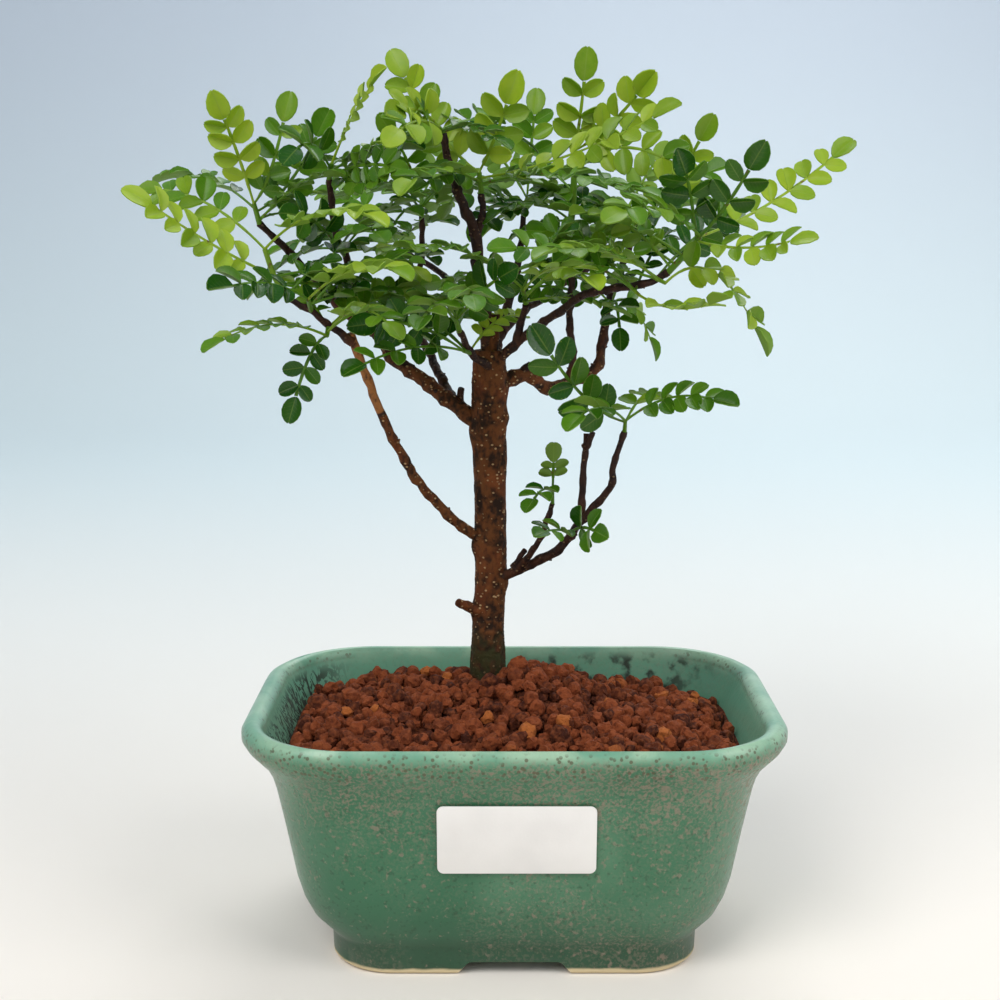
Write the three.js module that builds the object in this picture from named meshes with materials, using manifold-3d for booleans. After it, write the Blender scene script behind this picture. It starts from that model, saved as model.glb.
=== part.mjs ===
// Chinese pepper bonsai in its pot, in millimetres, +Z up, x to the right, y away from the viewer.
// The driving sizes are the pot's lip, foot and height, the trunk's place and the leaflet's length.
// The pot's underside stands on z = 0; the last lines move the group so that the middle of
// the bottom of its box is the origin.
import * as THREE from "three";
import Module from "manifold-3d";

const wasm = await Module();
wasm.setup();

const POT = {
  footHalfX: 46.6,
  footHalfY: 36.4,
  footCorner: 15.5,
  depthPerWidth: 0.44,
  cornerPerWidth: 0.539,
  arcSteps: 4,
};
// The hollow under the floor, the gaps in the middle of the foot's sides and the drain holes.
const FOOT = {
  height: 3,
  hollowHalfX: 40,
  frontGapLow: 15,
  frontGapHigh: 11.5,
  sideGapLow: 11,
  sideGapHigh: 8,
  gapHalfLength: 70,
  drainX: 22,
  drainRadius: 5,
  drainSides: 12,
  drainTop: 12,
};
// Half-width and height of the pot's outer wall from the foot to the top of the lip.
const POT_OUTSIDE = [
  [46.6, 0],
  [46.8, 6.8],
  [51.9, 11.7],
  [55.8, 21.2],
  [58.2, 33.4],
  [60.6, 44.6],
  [63.2, 50.4],
  [66.8, 53.8],
  [69.1, 57],
  [68.6, 59.8],
  [66.4, 61.1],
];
// Half-width and height of the inner wall from the lip down to the floor.
const POT_INSIDE = [
  [64.2, 60.7],
  [63, 58.2],
  [60, 51],
  [57, 44],
  [54.4, 33],
  [52, 21],
  [48, 13],
  [43, 9],
];
const SOIL = {
  gap: 0.5,
  floorGap: 0.3,
  edgeHalfX: 59.3,
  edgeZ: 50.5,
  rise: 12,
  rings: 9,
  roughness: 1.2,
  granules: 48,
  granuleSize: 4,
};
const TRUNK = { x: -7, y: 16, footZ: 48.5, holeRadius: 5.45, holeTop: 80, sides: 9 };
const LABEL = { width: 38.5, height: 18, thickness: 0.6, corner: 1.5, x: 0.4, lowZ: 29, gap: 0.4 };
const LEAFLET = {
  length: 6.9,
  least: 4.8,
  lengthPerStep: 1.4,
  widthPerLength: 0.64,
  widthPerStep: 0.8,
  leanFirst: 66,
  leanLost: 12,
  endGrown: 1.15,
  endGap: 0.5,
  domed: 0.8,
  fold: 0.12,
};
const RACHIS = { half: 0.5, thick: 0.42, leastPetiole: 3.5, petiolePart: 0.2 };
const CLEAR = 0.3;
// Volume in cubic millimetres under which two bodies count as clear of each other.
const TOUCH = 1e-4;

// The trunk: a point along its centre and the radius there.
const TRUNK_ROWS = [
  [[-7, 16, TRUNK.footZ], 4.8],
  [[-7, 16, 63], 5],
  [[-7, 16, 68], 4.75],
  [[-6.8, 16, 78], 4.4],
  [[-6.2, 16, 91], 4.3],
  [[-6.2, 16, 105], 4.35],
  [[-6.6, 16, 124], 4.4],
  [[-6.6, 16, 137], 4.75],
  [[-6.4, 16, 151], 4.35],
];
// Branches: name, radius at the start, radius at the end, points along the centre.
const WOOD = [
  ["low_left", 1.4, 1.05, [
    [-7, 16, 99], [-14, 12, 104], [-24, 8, 115], [-30, 4, 126], [-35, -2, 139], [-41, -8, 157],
  ]],
  ["low_left_tip", 0.9, 0.7, [
    [-40.5, -8, 155], [-45.5, -11, 159], [-50, -13, 163], [-55, -15, 166],
  ]],
  ["left", 2.2, 0.8, [
    [-6.5, 16, 129], [-17, 18, 137], [-25, 20, 143], [-33, 21, 149], [-37, 22, 155],
    [-43, 22, 159], [-50, 20, 166], [-57, 14, 175], [-65, 6, 184],
  ]],
  ["left_riser", 1.2, 0.75, [
    [-37, 22, 155], [-39, 18, 163], [-42, 14, 169], [-44, 11, 176], [-46, 9, 182],
    [-47, 6, 195],
  ]],
  ["left_back", 1.4, 0.75, [
    [-14, 17, 135], [-18, 26, 139], [-21, 32, 144], [-26, 42, 153], [-28, 48, 161],
    [-26, 52, 176], [-26, 52, 187],
  ]],
  ["front_spur", 1.05, 0.8, [
    [-4.5, 15, 145], [-11, 6, 151], [-14, 1, 157],
  ]],
  ["leader", 2, 0.85, [
    [-6.5, 16, 149], [-7.5, 14, 160], [-9, 11, 170], [-10, 9, 181], [-12.5, 8, 187],
    [-15, 7, 194], [-17, 7, 201], [-18, 7, 206.5],
  ]],
  ["leader_fork", 0.95, 0.8, [
    [-10, 9, 181], [-8.5, 11, 185], [-8.5, 12, 191.5],
  ]],
  ["right", 2, 0.85, [
    [-6, 16, 141], [3, 20, 144], [9.5, 26, 140], [17, 32, 141], [23, 35, 144], [25, 37, 151],
    [26, 38, 160], [28, 37, 167], [32, 34, 178],
  ]],
  ["right_riser", 1.05, 0.85, [
    [15.5, 31, 140.5], [16.5, 32, 148], [15.5, 32, 158], [16, 31, 166], [15, 29, 179],
  ]],
  ["diagonal", 1.35, 0.85, [
    [-5, 15, 148], [4, 8, 156], [9, 2, 160], [16.5, -6, 166], [25, -12, 168.5],
    [31.5, -15, 169.5], [37, -17, 172.5],
  ]],
  ["diagonal_spur", 1, 0.8, [
    [1, 10, 153.5], [1.5, 8, 158], [3, 4, 163.5],
  ]],
  ["low_right", 1.35, 0.75, [
    [-6.5, 16, 88], [2.5, 12, 92.5], [10.5, 8, 97.5], [15.5, 4, 104], [18, 2, 108],
    [22, 0, 113], [25, -2, 117], [25.5, -3, 123], [28, -5, 132],
  ]],
  ["low_right_riser", 0.95, 0.75, [
    [17.5, 2, 107], [18, 4, 114], [18.5, 5, 123], [19, 6, 130],
  ]],
  ["low_right_inner", 0.85, 0.65, [
    [1, 12, 92], [6, 6, 100], [8.5, 2, 107], [10, 0, 112.5],
  ]],
  ["back_riser", 1.5, 0.8, [
    [-6.5, 17, 147], [-3.5, 28, 155], [-0.5, 38, 166], [2, 45, 176], [3, 50, 186],
  ]],
  ["back_right", 1.1, 0.75, [
    [-3.5, 28, 155], [7.5, 42, 163], [19.5, 52, 170], [28, 60, 176],
  ]],
  ["back_left", 1.1, 0.75, [
    [-3.5, 27, 154], [-12, 45, 162], [-21, 58, 170], [-33, 66, 176],
  ]],
  ["stub_low", 1.25, 1.1, [
    [-9, 14, 80], [-15, 10, 83.5],
  ]],
  ["stub_right", 0.75, 0.65, [
    [0, 12, 92.5], [3, 9, 98],
  ]],
  ["stub_left", 0.9, 0.8, [
    [-15, 19, 135.5], [-14, 18, 140.5],
  ]],
  ["stub_top", 1.6, 1.4, [
    [-6, 15, 150], [-5, 15, 160.5],
  ]],
  ["stub_fork", 0.75, 0.65, [
    [18.5, 5, 126.5], [20.5, 4, 130.5],
  ]],
  ["stub_elbow", 0.9, 0.8, [
    [1.5, 20, 143.5], [4.5, 18, 147],
  ]],
];

// Which way the upper side of a frond's leaflets looks.
const FACE = {
  up: [0, -0.1, 1],
  front: [0, -1, 0.15],
  slant: [0, -0.75, 0.8],
  back: [0, 1, 0.3],
  left: [-1, -0.3, 0.3],
  right: [1, -0.4, 0.2],
};

// Green shoots: name, stem points, stem radius, and the fronds on it. A frond is its place
// along the stem from 0 to 1, the end of its rachis, how far its middle is raised, its pairs
// of leaflets, which way it faces and the leaflets' size.
const SHOOTS = [
  ["shoot_far_left", [[-55, -15, 166], [-58, -17, 171], [-60, -19, 178]], 0.8, [
    [0.55, [-83, -34, 188], -2, 5, "slant", 1],
    [1, [-34, -42, 186], 8, 5, "up", 0.95],
    [1, [-85, -14, 192], 6, 5, "slant", 0.95],
  ]],
  ["shoot_left_top", [[-65, 6, 184], [-66, 4, 189]], 0.75, [
    [0.9, [-71, -6, 209], 2, 4, "front", 1.1],
    [1, [-58, 4, 209], -6, 4, "front", 1.1],
    [0.6, [-51, 14, 206], -6, 4, "front", 1.05],
    [0.7, [-88, 16, 196], 6, 5, "up", 1],
  ]],
  ["shoot_left_low", [[-50, -13, 163], [-50, -18, 166]], 0.7, [
    [1, [-65, -34, 170], 4, 4, "slant", 1],
    [1, [-28, -46, 174], 6, 5, "up", 1],
  ]],
  ["shoot_left_under", [[-46, -11, 159], [-46, -15, 157]], 0.7, [
    [1, [-67, -36, 158], 6, 5, "up", 0.95],
    [1, [-53, -22, 143], 6, 4, "front", 0.95],
    [0.7, [-30, -36, 162], 8, 4, "up", 0.95],
  ]],
  ["shoot_left_inner", [[-47, 6, 195], [-46, 4, 199]], 0.75, [
    [1, [-35, -6, 217], 3, 5, "left", 0.9],
    [0.6, [-52, -14, 202], 6, 3, "front", 1.05],
    [0.7, [-33, -10, 195], -4, 4, "slant", 1],
    [0.8, [-44, 36, 196], 6, 4, "up", 1],
  ]],
  ["shoot_left_mid", [[-44, 11, 176], [-45, 6, 178]], 0.7, [
    [1, [-52, -14, 186], 3, 3, "front", 1],
    [0.8, [-33, -24, 182], 6, 4, "slant", 1],
    [0.7, [-64, 8, 170], 6, 4, "up", 1],
  ]],
  ["shoot_low_front", [[-11, 6, 151], [-13, 1, 152]], 0.65, [
    [1, [-34, -14, 160], 5, 4, "front", 1.05],
    [0.8, [-36, -24, 151], 5, 4, "slant", 0.95],
  ]],
  ["shoot_front_spur", [[-14, 1, 157], [-15, -2, 161]], 0.8, [
    [1, [-21, -38, 163], 7, 4, "up", 1],
    [0.9, [-10, -38, 168], 6, 4, "up", 1],
    [0.7, [-4, -18, 171], 2, 4, "front", 1],
  ]],
  ["shoot_spur", [[3, 4, 164], [2, 0, 168]], 0.8, [
    [1, [-25, -24, 178], 8, 5, "up", 1],
    [0.8, [16, -38, 172], 8, 5, "up", 1],
    [0.9, [11, -18, 181], 4, 4, "slant", 1],
  ]],
  ["shoot_top_left", [[-18, 7, 206.5], [-19, 4, 208]], 0.6, [
    [1, [-27, -10, 211], 3, 3, "front", 1.15],
    [0.6, [-27, -19, 206], 4, 3, "front", 1.1],
    [0.5, [-7, 24, 211], 2, 3, "slant", 1],
  ]],
  ["shoot_top", [[-8.5, 12, 192], [-9, 10, 197]], 0.8, [
    [1, [-28, 16, 221], -6, 5, "front", 1.2],
    [1, [-2, 0, 213], -2, 3, "front", 1.15],
    [0.7, [33, -12, 209], -4, 7, "slant", 1],
    [0.4, [28, -24, 192], 6, 6, "up", 1],
    [0.5, [-24, -26, 194], 5, 4, "up", 1],
  ]],
  ["shoot_leader", [[15, 29, 179], [16, 26, 192], [16, 24, 203]], 1, [
    [1, [31, 10, 216], -3, 4, "front", 1.1],
    [1, [18, 16, 220], -4, 3, "front", 1.2],
    [0.85, [40, 4, 199], 8, 4, "front", 1.1],
    [0.55, [30, 48, 194], 4, 4, "slant", 1],
    [0.5, [2, 42, 199], 6, 5, "up", 1],
  ]],
  ["shoot_right_top", [[32, 34, 178], [34, 30, 184]], 0.75, [
    [1, [48, 16, 205], -4, 3, "front", 1],
    [1, [54, 44, 198], 4, 4, "slant", 1],
    [0.8, [22, 16, 188], 5, 4, "slant", 1],
    [0.6, [39, 2, 187], 4, 3, "front", 1.05],
  ]],
  ["shoot_right_mid", [[26, 38, 160], [28, 33, 163]], 0.6, [
    [1, [38, 36, 153], 8, 3, "right", 0.9],
    [0.8, [28, 16, 157], 6, 3, "front", 0.9],
  ]],
  ["shoot_right_tip", [[37, -17, 172.5], [40, -19, 176], [44, -21, 181]], 0.85, [
    [1, [78, -6, 200], -4, 5, "slant", 0.95],
    [0.9, [62, -38, 180], -3, 5, "slant", 0.95],
    [1, [53, -34, 196], -2, 3, "front", 1.15],
    [0.9, [39, -32, 195], 3, 3, "front", 1.15],
    [1, [24, -46, 187], 6, 5, "slant", 1],
  ]],
  ["shoot_right_droop", [[34, -16, 171], [36, -20, 170]], 0.6, [
    [1, [57, -24, 160], 16, 5, "right", 1],
    [0.6, [9, -44, 178], 6, 5, "up", 1],
  ]],
  ["shoot_right_small", [[28, -13.5, 169], [30, -18, 167]], 0.55, [
    [1, [44, -40, 166], -4, 3, "up", 0.95],
  ]],
  ["shoot_low_right", [[28, -5, 132], [28, -7, 135]], 0.6, [
    [1, [48, -20, 142], 6, 5, "slant", 1],
    [0.9, [9, -12, 152], -6, 4, "front", 1.2],
    [1, [16, -26, 139], 5, 3, "up", 1],
    [0.8, [38, 14, 139], 6, 3, "up", 0.95],
  ]],
  ["shoot_low_inner", [[10, 0, 112.5], [10, -1, 117]], 0.5, [
    [1, [10, -5, 124], -1, 2, "up", 0.85],
    [0.7, [5, -12, 116], 3, 2, "up", 0.8],
  ]],
  ["shoot_low_elbow", [[15.5, 4, 104], [14.5, -1, 105]], 0.5, [
    [1, [20, -13, 108], 2, 2, "front", 0.95],
    [0.7, [8, -14, 108], 1, 2, "slant", 0.85],
  ]],
  ["shoot_back_left", [[-26, 52, 187], [-26, 54, 191]], 0.75, [
    [1, [-33, 40, 208], 3, 4, "front", 1],
    [1, [-18, 60, 206], 3, 4, "back", 1],
    [0.7, [-50, 66, 192], 6, 4, "up", 1],
    [0.7, [-22, 86, 189], 6, 4, "up", 1],
    [0.5, [-33, 30, 183], 4, 3, "slant", 1],
  ]],
  ["shoot_back_top", [[3, 50, 186], [4, 50, 191]], 0.75, [
    [1, [6, 52, 214], 2, 4, "front", 1],
    [1, [-6, 66, 205], 3, 4, "back", 1],
    [0.7, [22, 84, 192], 6, 4, "up", 1],
    [0.7, [-8, 30, 184], 4, 4, "slant", 1],
  ]],
  ["shoot_back_right", [[28, 60, 176], [30, 62, 181]], 0.75, [
    [1, [42, 68, 202], 2, 5, "back", 1],
    [1, [64, 62, 190], 6, 4, "up", 1],
    [0.7, [42, 92, 180], 6, 4, "up", 1],
    [0.5, [12, 70, 182], 4, 4, "slant", 1],
  ]],
  ["shoot_back_far_left", [[-33, 66, 176], [-35, 68, 180]], 0.75, [
    [1, [-56, 84, 194], 6, 5, "slant", 1],
    [1, [-64, 56, 178], 6, 4, "up", 1],
    [0.6, [-36, 94, 174], 6, 4, "up", 1],
  ]],
];

// A number from 0 to 1 each call, the same run of numbers for the same seed.
function seeded(seed) {
  let state = seed >>> 0;
  return () => {
    state = (state + 0x6d2b79f5) >>> 0;
    let t = state;
    t = Math.imul(t ^ (t >>> 15), t | 1);
    t ^= t + Math.imul(t ^ (t >>> 7), t | 61);
    return ((t ^ (t >>> 14)) >>> 0) / 4294967296;
  };
}

// A closed body from vertices (THREE.Vector3) and triangles (triples of vertex numbers).
function body(vertices, triangles) {
  const mesh = new wasm.Mesh({
    numProp: 3,
    vertProperties: new Float32Array(vertices.flatMap((v) => [v.x, v.y, v.z])),
    triVerts: new Uint32Array(triangles.flat()),
  });
  return new wasm.Manifold(mesh);
}

// The same body as flat-shaded three.js geometry.
function geometryOf(solid) {
  const mesh = solid.getMesh();
  const positions = [];
  for (const index of mesh.triVerts) {
    const start = index * mesh.numProp;
    positions.push(...mesh.vertProperties.slice(start, start + 3));
  }
  const geometry = new THREE.BufferGeometry();
  geometry.setAttribute("position", new THREE.Float32BufferAttribute(positions, 3));
  geometry.computeVertexNormals();
  return geometry;
}

// Several bodies fused into one.
function joined(solids) {
  return solids.reduce((all, next) => all.add(next));
}

// A closed body through rings of equal count that run anticlockwise seen from the far end.
function loft(rings) {
  const count = rings[0].length;
  const vertices = rings.flat();
  const triangles = [];
  for (let r = 0; r + 1 < rings.length; r++) {
    for (let i = 0; i < count; i++) {
      const next = (i + 1) % count;
      const low = r * count;
      const high = low + count;
      triangles.push([low + i, low + next, high + next], [low + i, high + next, high + i]);
    }
  }
  const last = (rings.length - 1) * count;
  for (let i = 1; i + 1 < count; i++) {
    triangles.push([0, i + 1, i], [last, last + i, last + i + 1]);
  }
  return body(vertices, triangles);
}

// A ring of the pot's rounded rectangle at one height, its sides and corners set by its half-width.
function potRing(halfX, z) {
  const grown = halfX - POT.footHalfX;
  const halfY = POT.footHalfY + grown * POT.depthPerWidth;
  const corner = POT.footCorner + grown * POT.cornerPerWidth;
  const ring = [];
  for (let quarter = 0; quarter < 4; quarter++) {
    const sideX = quarter === 0 || quarter === 3 ? 1 : -1;
    const sideY = quarter < 2 ? 1 : -1;
    for (let step = 0; step <= POT.arcSteps; step++) {
      const angle = ((quarter + step / POT.arcSteps) * Math.PI) / 2;
      ring.push(new THREE.Vector3(
        sideX * (halfX - corner) + corner * Math.cos(angle),
        sideY * (halfY - corner) + corner * Math.sin(angle),
        z,
      ));
    }
  }
  return ring;
}

// An upright column of any outline between two heights; the outlines may differ.
function column(lowOutline, highOutline, lowZ, highZ) {
  const ring = (outline, z) => outline.map(([x, y]) => new THREE.Vector3(x, y, z));
  return loft([ring(lowOutline, lowZ), ring(highOutline, highZ)]);
}

// The corners of a circle, as pairs of x and y.
function circle(x, y, radius, sides) {
  return Array.from({ length: sides }, (_, i) => {
    const angle = (i / sides) * 2 * Math.PI;
    return [x + radius * Math.cos(angle), y + radius * Math.sin(angle)];
  });
}

// The shell, with the space under its floor, a gap in the middle of each foot and two drain holes.
function potBody() {
  const shell = loft([...POT_OUTSIDE, ...POT_INSIDE].map(([halfX, z]) => potRing(halfX, z)));
  const hollow = loft([potRing(FOOT.hollowHalfX, -1), potRing(FOOT.hollowHalfX, FOOT.height)]);
  const gap = (halfLow, halfHigh, turned) => {
    const outline = (half) => {
      const long = FOOT.gapHalfLength;
      const corners = [[-half, -long], [half, -long], [half, long], [-half, long]];
      return turned ? corners.map(([x, y]) => [-y, x]) : corners;
    };
    return column(outline(halfLow), outline(halfHigh), -0.01, FOOT.height);
  };
  const drains = [-FOOT.drainX, FOOT.drainX].map((x) => {
    const outline = circle(x, 0, FOOT.drainRadius, FOOT.drainSides);
    return column(outline, outline, 1, FOOT.drainTop);
  });
  const gaps = [
    gap(FOOT.frontGapLow, FOOT.frontGapHigh, false),
    gap(FOOT.sideGapLow, FOOT.sideGapHigh, true),
  ];
  return [hollow, ...gaps, ...drains].reduce((left, cut) => left.subtract(cut), shell);
}

// The soil fills the pot to a rough dome under the trunk, with granules fused into its surface.
function soilBody() {
  const random = seeded(11);
  const centre = new THREE.Vector3(TRUNK.x, TRUNK.y, 0);
  const inside = [...POT_INSIDE].reverse().filter(([, z]) => z < SOIL.edgeZ);
  const rings = inside.map(([halfX, z], i) => {
    return potRing(halfX - SOIL.gap, i === 0 ? z + SOIL.floorGap : z);
  });
  const edge = potRing(SOIL.edgeHalfX, SOIL.edgeZ);
  const onDome = (rim, t) => {
    const point = rim.clone().lerp(centre, t);
    point.z = SOIL.edgeZ + SOIL.rise * Math.sin((t * Math.PI) / 2);
    return point;
  };
  rings.push(edge);
  for (let r = 1; r <= SOIL.rings; r++) {
    const t = (r / (SOIL.rings + 0.6)) ** 1.1;
    rings.push(edge.map((rim) => {
      const point = onDome(rim, t);
      point.z += (random() - 0.5) * 2 * SOIL.roughness;
      return point;
    }));
  }
  const granules = Array.from({ length: SOIL.granules }, () => {
    const t = 1 - 0.93 * Math.sqrt(random());
    const rim = edge[Math.floor(random() * edge.length)].clone();
    rim.lerp(edge[Math.floor(random() * edge.length)], 0.25 * random());
    return granule(onDome(rim, t), SOIL.granuleSize * (0.75 + 0.5 * random()), random);
  });
  const holeOutline = circle(TRUNK.x, TRUNK.y, TRUNK.holeRadius, TRUNK.sides);
  const hole = column(holeOutline, holeOutline, TRUNK.footZ - CLEAR, TRUNK.holeTop);
  return joined([loft(rings), ...granules]).subtract(hole);
}

// One eight-sided granule, squashed and turned at random.
function granule(centre, radius, random) {
  const shape = new THREE.OctahedronGeometry(radius);
  const turn = new THREE.Euler(random() * 6, random() * 6, random() * 6);
  const squash = new THREE.Matrix4().makeScale(1, 0.72 + 0.3 * random(), 0.7 + 0.2 * random());
  shape.applyMatrix4(squash);
  shape.applyMatrix4(new THREE.Matrix4().makeRotationFromEuler(turn));
  const corners = [];
  const triangles = [];
  const positions = shape.getAttribute("position");
  for (let i = 0; i < positions.count; i++) {
    const point = new THREE.Vector3().fromBufferAttribute(positions, i).add(centre);
    let index = corners.findIndex((c) => c.distanceTo(point) < 1e-3);
    if (index < 0) index = corners.push(point) - 1;
    if (i % 3 === 0) triangles.push([]);
    triangles[triangles.length - 1].push(index);
  }
  return body(corners, triangles);
}

// A round stick through points with one radius at each, its rings square to the way it runs.
function stick(points, radii, sides) {
  const path = points.map((p) => new THREE.Vector3(...p));
  let side = new THREE.Vector3(1, 0.37, 0);
  const rings = path.map((point, i) => {
    const before = path[Math.max(i - 1, 0)];
    const after = path[Math.min(i + 1, path.length - 1)];
    const along = after.clone().sub(before).normalize();
    side = side.clone().addScaledVector(along, -side.dot(along)).normalize();
    const other = along.clone().cross(side);
    return Array.from({ length: sides }, (_, k) => {
      const angle = (k / sides) * 2 * Math.PI;
      return point.clone()
        .addScaledVector(side, radii[i] * Math.cos(angle))
        .addScaledVector(other, radii[i] * Math.sin(angle));
    });
  });
  return loft(rings);
}

// Radii that change evenly from the first to the last.
function evenRadii(count, first, last) {
  return Array.from({ length: count }, (_, i) => first + ((last - first) * i) / (count - 1));
}

// The trunk, its branches and its pruned stubs as one piece of wood, thicker all round by `extra`.
function woodBody(extra) {
  const trunkPoints = TRUNK_ROWS.map(([point]) => point);
  const trunkRadii = TRUNK_ROWS.map(([, radius]) => radius + extra);
  const branches = WOOD.map(([, first, last, points]) => {
    const radii = evenRadii(points.length, first + extra, last + extra);
    return stick(points, radii, first > 1.9 ? 6 : 5);
  });
  return joined([stick(trunkPoints, trunkRadii, TRUNK.sides), ...branches]);
}

// A frond's midline with the way along it, across it and up from it at any distance. All but
// the fronds that face the front lie flat, and their leaflets have one corner fewer.
function frondFrame(base, tip, raised, face) {
  const bend = base.clone().lerp(tip, 0.5);
  bend.z += raised;
  const curve = new THREE.QuadraticBezierCurve3(base, bend, tip);
  const length = curve.getLength();
  const facing = new THREE.Vector3(...FACE[face]);
  const point = (distance, across, up) => {
    const u = Math.min(Math.max(distance / length, 0), 1);
    const along = curve.getTangentAt(u);
    const lifted = facing.clone().addScaledVector(along, -facing.dot(along)).normalize();
    const sideways = along.clone().cross(lifted);
    return curve.getPointAt(u)
      .addScaledVector(along, distance - u * length)
      .addScaledVector(sideways, across)
      .addScaledVector(lifted, up);
  };
  return { length, point, lyingFlat: face !== "front" };
}

// The outline of one leaflet beside the rachis, from the lower side of its foot to the upper:
// distance along the frond and distance out from the rachis.
function leafletOutline(middle, step, length, lean, lyingFlat) {
  const width = Math.min(length * LEAFLET.widthPerLength, step * LEAFLET.widthPerStep);
  const shape = lyingFlat
    ? [[0.5, -0.5], [0.96, -0.1], [0.66, 0.5]]
    : [[0.45, -0.5], [0.88, -0.38], [0.97, 0.22], [0.5, 0.5]];
  return shape.map(([out, over]) => [
    middle + out * length * Math.cos(lean) + over * width * Math.sin(lean),
    RACHIS.half + out * length * Math.sin(lean) - over * width * Math.cos(lean),
  ]);
}

// The sizes of a frond's steps, and each leaflet's outline by pair and side.
function frondPlan(frame, pairs, size) {
  const petiole = Math.max(RACHIS.leastPetiole, RACHIS.petiolePart * frame.length);
  const step = (frame.length - petiole) / pairs;
  const room = Math.min(size * LEAFLET.length, step * LEAFLET.lengthPerStep);
  const longest = Math.max(room, size * LEAFLET.least);
  const outline = (i) => {
    const length = longest * (0.82 + 0.18 * Math.sin((Math.PI * (i + 1)) / (pairs + 1)));
    const lean = THREE.MathUtils.degToRad(LEAFLET.leanFirst - (LEAFLET.leanLost * i) / pairs);
    return leafletOutline(petiole + (i + 0.5) * step, step, length, lean, frame.lyingFlat);
  };
  return { petiole, step, outline, end: longest * LEAFLET.endGrown };
}

// One frond as a closed thin body: petiole, rachis and the leaflets that `keeps` allows.
function frondBody(frame, pairs, size, keeps) {
  const plan = frondPlan(frame, pairs, size);
  const vertices = [];
  const triangles = [];
  const add = (distance, across, up) => vertices.push(frame.point(distance, across, up)) - 1;
  const face = (loop, centre, turned) => loop.forEach((from, i) => {
    const to = loop[(i + 1) % loop.length];
    triangles.push(turned ? [centre, to, from] : [centre, from, to]);
  });
  const fan = (loop, turned) => {
    for (let i = 1; i + 1 < loop.length; i++) {
      triangles.push(turned ? [loop[0], loop[i + 1], loop[i]] : [loop[0], loop[i], loop[i + 1]]);
    }
  };
  const section = (distance) => ({
    top: add(distance, 0, RACHIS.thick),
    bottom: add(distance, 0, -RACHIS.thick),
    1: add(distance, RACHIS.half, 0),
    [-1]: add(distance, -RACHIS.half, 0),
  });
  const sections = [section(-0.4)];
  for (let i = 0; i <= pairs; i++) sections.push(section(plan.petiole + i * plan.step));
  sections.slice(1).forEach((high, i) => {
    const low = sections[i];
    for (const side of [1, -1]) {
      const kept = i > 0 && keeps(i - 1, side) ? plan.outline(i - 1) : [];
      const outer = kept.map(([d, out]) => add(d, side * out, out * LEAFLET.fold));
      const flip = side > 0;
      if (kept.length) {
        const d = kept.reduce((sum, point) => sum + point[0], 0) / kept.length;
        const out = kept.reduce((sum, point) => sum + point[1], 0) / kept.length;
        const crown = add(d, side * out, out * LEAFLET.fold + LEAFLET.domed);
        face([low.top, low[side], ...outer, high[side], high.top], crown, !flip);
      } else {
        fan([low.top, low[side], high[side], high.top], !flip);
      }
      fan([low.bottom, low[side], ...outer, high[side], high.bottom], flip);
    }
  });
  const first = sections[0];
  triangles.push([first.top, first[-1], first[1]], [first.bottom, first[1], first[-1]]);
  const last = sections[pairs + 1];
  const start = frame.length;
  const half = (plan.end * LEAFLET.widthPerLength) / 2;
  const tip = [[0.5, 1], [0.95, 0.55], [0.95, -0.55], [0.5, -1]]
    .map(([out, over]) => add(start + LEAFLET.endGap + out * plan.end, over * half, 0));
  const crown = add(start + LEAFLET.endGap + 0.6 * plan.end, 0, LEAFLET.domed);
  face([last.top, last[1], ...tip, last[-1]], crown, false);
  fan([last.bottom, last[1], ...tip, last[-1]], true);
  return body(vertices, triangles);
}

// A leaflet with a margin round it, to find what it would touch.
function leafletGuard(frame, plan, i, side) {
  const outline = plan.outline(i);
  const foot = [0.1, 0.9].map((part) => [plan.petiole + (i + part) * plan.step, RACHIS.half]);
  const loop = [foot[0], ...outline, foot[1]];
  const ring = (up) => {
    const points = loop.map(([d, out]) => frame.point(d, side * out, out * LEAFLET.fold + up));
    return side > 0 ? points : points.reverse();
  };
  return loft([ring(-0.5), ring(1.2)]);
}

// The box round a body.
function boxOf(solid) {
  const { min, max } = solid.boundingBox();
  return new THREE.Box3(new THREE.Vector3(...min), new THREE.Vector3(...max));
}

// Whether a body runs into any of the others.
function touches(guard, others) {
  const box = boxOf(guard);
  return others.some((other) => {
    return box.intersectsBox(other.box) && guard.intersect(other.solid).volume() > TOUCH;
  });
}

// One shoot: its stem and its fronds, without the leaflets that would run into the wood or
// into a shoot that is already placed.
function shootBody([, stem, radius, fronds], placed) {
  const path = new THREE.CurvePath();
  const stemPoints = stem.map((p) => new THREE.Vector3(...p));
  stemPoints.slice(1).forEach((p, i) => path.add(new THREE.LineCurve3(stemPoints[i], p)));
  const parts = [stick(stem, evenRadii(stem.length, radius, radius * 0.85), 5)];
  const neighbours = [...placed];
  for (const [at, end, raised, pairs, face, size] of fronds) {
    const base = path.getPointAt(Math.min(at, 0.97));
    const frame = frondFrame(base, new THREE.Vector3(...end), raised, face);
    const plan = frondPlan(frame, pairs, size);
    const free = new Map();
    const keeps = (i, side) => {
      const key = i + "/" + side;
      if (!free.has(key)) free.set(key, !touches(leafletGuard(frame, plan, i, side), neighbours));
      return free.get(key);
    };
    const solid = frondBody(frame, pairs, size, keeps);
    neighbours.push({ solid, box: boxOf(solid) });
    parts.push(solid);
  }
  return joined(parts);
}

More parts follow.
